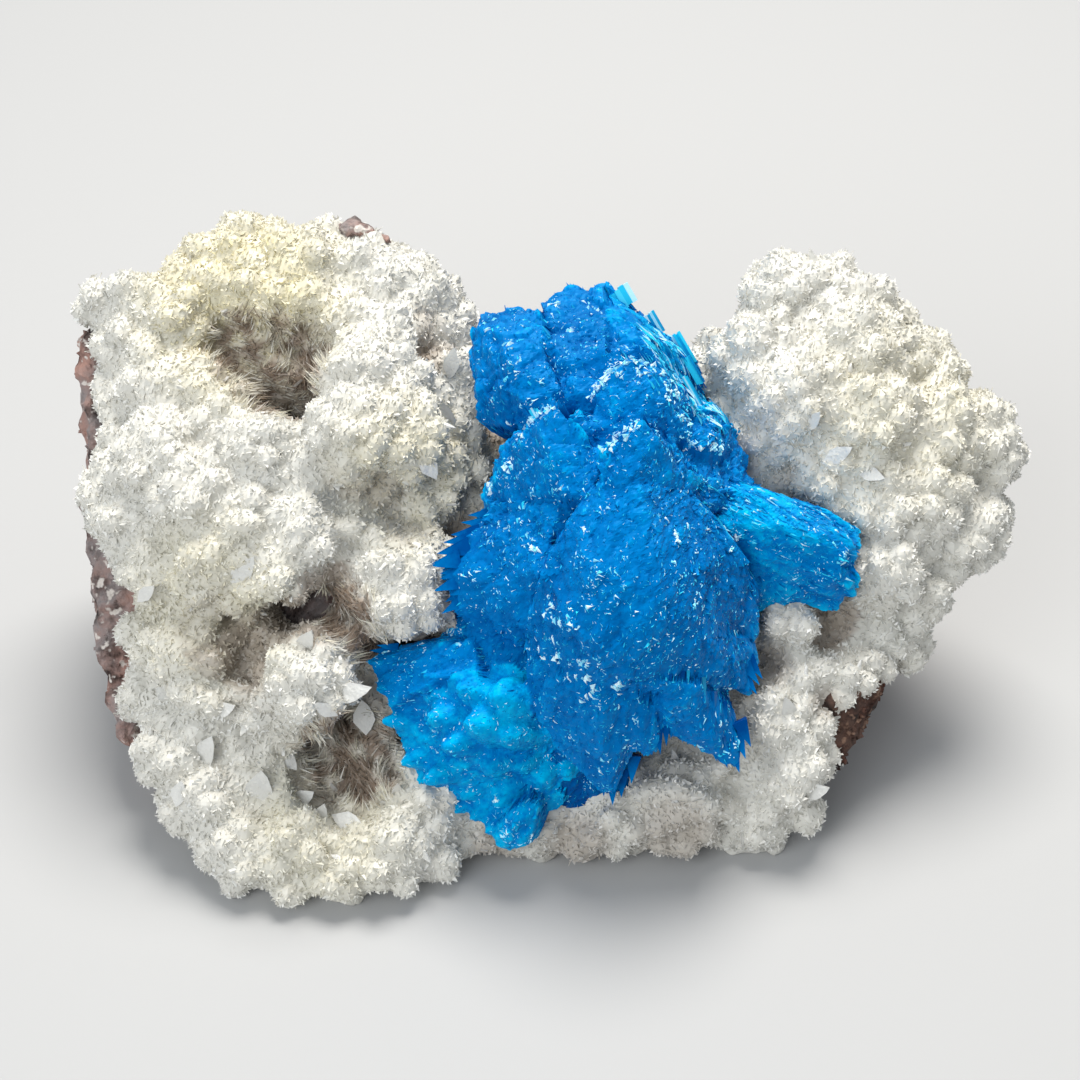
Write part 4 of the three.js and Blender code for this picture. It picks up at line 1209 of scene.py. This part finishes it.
# Larger tablets that stand out of the druse: (across, up, length, width, slope and tilt in degrees).
tablets = [
    (-26, -21, 3.2, 2.3, 80, 35), (-31.2, -17.8, 3.6, 2.0, 60, 40), (-17.5, -11.8, 3.4, 1.6, 15, 30),
    (-21.3, -7.3, 2.4, 1.4, 60, 50), (-17.8, -23.8, 2.8, 1.6, -20, 35), (-9, 12.8, 2.6, 1.5, 100, 40),
    (-10.5, 8.5, 2.4, 1.4, 120, 45), (-8.6, 18, 2.4, 1.3, 80, 40), (26.5, 9.5, 2.4, 1.3, 30, 40),
    (29.5, 7.8, 2.2, 1.2, -20, 40), (24, 12.5, 2, 1.2, 50, 50), (22, -13.5, 2.2, 1.2, 110, 45),
    (24.5, -21, 2.2, 1.3, 20, 40), (-36, -3, 2, 1.1, 40, 45), (-34.5, -12, 3, 1.9, 110, 30),
    (-27, -1.1, 3, 1.7, 50, 35), (-16.6, -14.5, 2.6, 1.8, 95, 30), (-22.2, -21.8, 2.2, 1.4, 30, 35),
    (-23.6, -18.2, 2.2, 1.3, 130, 40), (-20.4, -23.2, 2, 1.3, 70, 35), (-29, -13.5, 2, 1.2, 20, 40),
    (-33, -21, 2.2, 1.3, 75, 40), (-19.5, -13.2, 2, 1.1, 150, 40),
]
tablet = {
    "flatter": 0.75, "wider": 1.05, "thick": 0.8, "sunk": 0.45, "out": 0.1, "tone": [0.5, 1],
    # Smaller ones are scattered by chance.
    "count": 150, "length": [0.8, 1.6], "width": [0.4, 0.85], "thickness": [0.2, 0.4], "lean": 35,
    "rooted": 0.55, "clear": 1.5 * mm, "lowest": 3 * mm, "stained": 0.7, "brownedAndShaded": 0.5,
}
# The fibres in the brown hollows.
fibre = {
    "count": 2800, "length": [1, 2.8], "width": [0.07, 0.18], "upright": 0.35, "lean": 16, "sunk": 0.4,
    "within": 0.15, "facing": -0.2, "lowest": 0.3 * mm, "stained": [0, 0.5], "brownedAndShaded": [-0.35, 0.25],
}


def tabletShape():       # a flat crystal with a pointed end and a low roof, growing along Z
    bm = bmesh.new()
    bmesh.ops.create_circle(bm, segments=10, radius=0.52, cap_ends=True)
    bmesh.ops.rotate(bm, verts=bm.verts, matrix=Matrix.Rotation(math.radians(90), 3, "X"))
    for vert in bm.verts:
        vert.co.x *= 1 + 0.12 * math.sin(7 * vert.co.z + 2)
        vert.co.z *= 1.35 - abs(vert.co.x) + 0.12 * math.sin(9 * vert.co.x)
    swept = bmesh.ops.extrude_face_region(bm, geom=bm.faces[:])
    moved = [v for v in swept["geom"] if isinstance(v, bmesh.types.BMVert)]
    bmesh.ops.scale(bm, verts=moved, vec=(0.74, 1, 0.8))
    bmesh.ops.translate(bm, verts=moved, vec=(0, 0.7, 0))
    roof = [f for f in swept["geom"] if isinstance(f, bmesh.types.BMFace)]
    ridge = bmesh.ops.poke(bm, faces=roof)["verts"]
    bmesh.ops.translate(bm, verts=ridge, vec=(0.08, 0.3, 0.12))
    bmesh.ops.translate(bm, verts=bm.verts, vec=(0, -0.5, 0.5))
    bmesh.ops.recalc_face_normals(bm, faces=bm.faces)
    places, faces = templateOf(bm)
    return places, sorted(faces)      # extruding can give the faces in another order on each run


def namedTablets(tree):          # the tablets of the rows above
    hits = [castAt(tree, [row[0], row[1], wellOut])[0] for row in tablets]
    print("tablets off the druse:", [row for row, hit in zip(tablets, hits) if hit is None])
    rows = np.array([row for row, hit in zip(tablets, hits) if hit is not None], float)
    places = np.array([hit for hit in hits if hit is not None])
    slopes, tilts = np.radians(rows[:, 4]), np.radians(tablet["flatter"] * rows[:, 5])
    none = np.zeros(len(rows))
    flat = np.stack([np.cos(slopes), np.sin(slopes), none], 1)
    headings = unit(flat * np.cos(tilts)[:, None] + [0, 0, 1] * np.sin(tilts)[:, None])
    facing = unit(np.cross(headings, np.cross([0, 0, 1], flat)) * -1)
    axes = np.stack([np.cross(facing, headings), facing, headings], 1) @ faceAxes
    thickness = np.full(len(rows), tablet["thick"])
    sizes = np.stack([tablet["wider"] * rows[:, 3], thickness, rows[:, 2]], 1)
    starts = places - (headings * (tablet["sunk"] * rows[:, 2:3]) - tablet["out"] * facing) @ faceAxes * mm
    return copiesOf("tablets", tabletShape(), starts, axes, sizes * mm,
                    {"tone": chance.uniform(*tablet["tone"], len(rows)), "stain": none, "brownAndShade": none})


def crustTablets(base, tree, blockers):
    named = namedTablets(tree)
    count = tablet["count"]
    free = openness(base, blockers, tablet["clear"]) * (placesOf(base)[:, 2] > tablet["lowest"])
    places, normals = spreadOver(base, count, free)[:2]
    headings = leaned(normals, tablet["lean"])
    length = chance.uniform(*tablet["length"], count)
    width = chance.uniform(*tablet["width"], count)
    thickness = chance.uniform(*tablet["thickness"], count)
    spots = toFace(places)
    starts = places - headings * (tablet["rooted"] * length * mm)[:, None]
    # Tablets in the hollows are browned, and darkened with painted shade in the darkest of them.
    some = copiesOf("tablets", tabletShape(), starts, axesAlong(headings),
                    np.stack([width, thickness, length], 1) * mm,
                    {"tone": chance.random(count), "stain": tablet["stained"] * nearSpots(spots, stains),
                     "brownAndShade": tablet["brownedAndShaded"] * nearSpots(spots, hollows)})
    return joined("tablets", [named, some])


def hollowFibres(base):
    spots, normals = toFace(placesOf(base)), normalsOf(base)
    inside = (nearSpots(spots, hollows) > fibre["within"]) * ((normals @ faceAxes.T)[:, 2] > fibre["facing"])
    count = fibre["count"]
    picked = chance.choice(np.flatnonzero(inside), count)
    slopes = 0.9 + 1.3 * np.sin(0.55 * spots[picked, 0] + 0.4 * spots[picked, 1])     # combed in waves
    along = np.stack([np.cos(slopes), np.sin(slopes), np.zeros(count)], 1) @ faceAxes
    headings = leaned(unit(fibre["upright"] * normals[picked] + along), fibre["lean"])
    length = chance.uniform(*fibre["length"], count)
    width = chance.uniform(*fibre["width"], count)
    starts = placesOf(base)[picked] - headings * (fibre["sunk"] * length * mm)[:, None]
    places = spots[picked]
    # Deeper in the hollows the fibres are darker: painted shade as well as brown.
    deep = 0.5 * (nearSpots(places, hollows) - 0.8)
    values = {"tone": chance.random(count), "stain": chance.uniform(*fibre["stained"], count)}
    brownedAndShaded = 1.1 * tuftedAt(places) + chance.uniform(*fibre["brownedAndShaded"], count) + deep
    values["brownAndShade"] = brownedAndShaded.clip(0, 1)
    sizes = np.stack([width, width, length], 1) * mm
    lowest = starts[:, 2] + (headings[:, 2] * length).clip(None, 0) * mm
    kept = lowest > fibre["lowest"]
    return copiesOf("fibres", sliverShape(), starts[kept], axesAlong(headings)[kept], sizes[kept],
                    {key: value[kept] for key, value in values.items()})


def paintCrust(crust, clusters, shelter):
    places = placesOf(crust)
    spots = toFace(places)
    paint(crust, "tone", np.full(len(spots), 0.5))
    # The druse is painted near the blades' root colour: painted shade beneath them.
    paint(crust, "reach", np.full(len(spots), 0.2))
    paint(crust, "stain", nearSpots(spots, stains))
    # Brown in the hollows, painted shade in dark holes and sheltered clefts, painted shadow under the
    # cluster.
    paint(crust, "brownAndShade", brownAndShadeAt(spots, blendedFrom(clusters, shelter, places)))


rock, darkBrownAndShade = basaltMesh()
rockTree = treeOf(rock)
print("basalt shaped")
blue, blueShades = cavansiteMesh()
blueTree = treeOf(blue)
print("cavansite sheaves shaped")
crust, clusters, clusterNormals = crustMesh()
crustTree = treeOf(crust)
shelter = shelterAt(clusters, clusterNormals, crustTree)
paintCrust(crust, clusters, shelter)
print("stilbite crust shaped")

basaltBody = basaltMaterial()
for name, mesh in [("basalt_rock", rock), ("basalt_crumbs", basaltCrumbs(rock, darkBrownAndShade))]:
    addPiece(name, mesh, basaltBody, "basalt_host_rock")

cavansiteBody = cavansiteMaterial("cavansite")
crystals, teeth = cavansiteCrystals(blue, blueShades, [crustTree, rockTree])
for name, mesh in [
    ("sheaves", blue), ("crystals", crystals), ("teeth", joined("teeth", [teeth, cavansiteSpikes()])),
    ("blocks", cavansiteBlocks(blueTree)), ("glitter", cavansiteGlitter(blue, [crustTree, rockTree])),
]:
    addPiece("cavansite_" + name, mesh, cavansiteBody, "cavansite_cluster")

bladeBody = stilbiteMaterial("stilbite_blades", False)
bladeMeshes = crustBlades(crust, clusters - clusterNormals * mm, shelter, [rockTree, blueTree])
for name, mesh, material in [
    ("druse", crust, stilbiteMaterial("stilbite", True)),
    ("tablets", crustTablets(crust, crustTree, [rockTree, blueTree]), tabletMaterial()),
    ("fibres", hollowFibres(crust), bladeBody),
    *((f"blades_{number}", blades, bladeBody) for number, blades in enumerate(bladeMeshes, 1)),
]:
    addPiece("stilbite_" + name, mesh, material, "stilbite_crust")

# The studio: each lamp's place, size, strength and colour, and the camera.
studio = {
    "floor": (0.44, 0.44, 0.44), "world": (0.88, 0.94, 1.0), "worldStrength": 0.45,
    "key": [(0.03, 0.16, 0.46), 0.26, 3.1, (1.0, 0.97, 0.92)],
    "fill": [(-0.25, -0.36, 0.30), 0.40, 1.45, (0.95, 0.98, 1.0)],
    "lens": 80, "aim": (-0.45, 1.8), "distance": 218,
}


def addFloor():
    bm = bmesh.new()
    bmesh.ops.create_grid(bm, x_segments=1, y_segments=1, size=2.0)
    floor = bpy.data.objects.new("floor", meshOfBm(bm, "floor"))
    scene.collection.objects.link(floor)
    material, tree, shader = newMaterial("floor")
    shader.inputs["Base Color"].default_value = (*studio["floor"], 1)
    shader.inputs["Roughness"].default_value = 0.7
    floor.data.materials.append(material)


def addLight(name, place, size, energy, color):
    light = bpy.data.lights.new(name, "AREA")
    light.shape = "DISK"
    light.size = size
    light.energy = energy
    light.color = color
    lamp = bpy.data.objects.new(name, light)
    scene.collection.objects.link(lamp)
    aim = Vector(fromFace([0, 0, 0])) - Vector(place)
    lamp.matrix_world = Matrix.Translation(place) @ aim.to_track_quat("-Z", "Y").to_matrix().to_4x4()


def addCamera():         # square on to the display face
    camera = bpy.data.objects.new("camera", bpy.data.cameras.new("camera"))
    camera.data.sensor_width = 36
    camera.data.lens = studio["lens"]
    camera.data.clip_start = 0.01
    scene.collection.objects.link(camera)
    place = Vector(fromFace([*studio["aim"], studio["distance"]]))
    turn = (-Vector(faceAxes[2])).to_track_quat("-Z", "Y").to_matrix().to_4x4()
    camera.matrix_world = Matrix.Translation(place) @ turn
    scene.camera = camera


addFloor()
addLight("key", *studio["key"])
addLight("fill", *studio["fill"])
scene.world = bpy.data.worlds.new("studio")
scene.world.use_nodes = True
background = scene.world.node_tree.nodes["Background"]
background.inputs["Color"].default_value = (*studio["world"], 1)
background.inputs["Strength"].default_value = studio["worldStrength"]
addCamera()
scene.view_settings.view_transform = "Standard"
print("stage set")
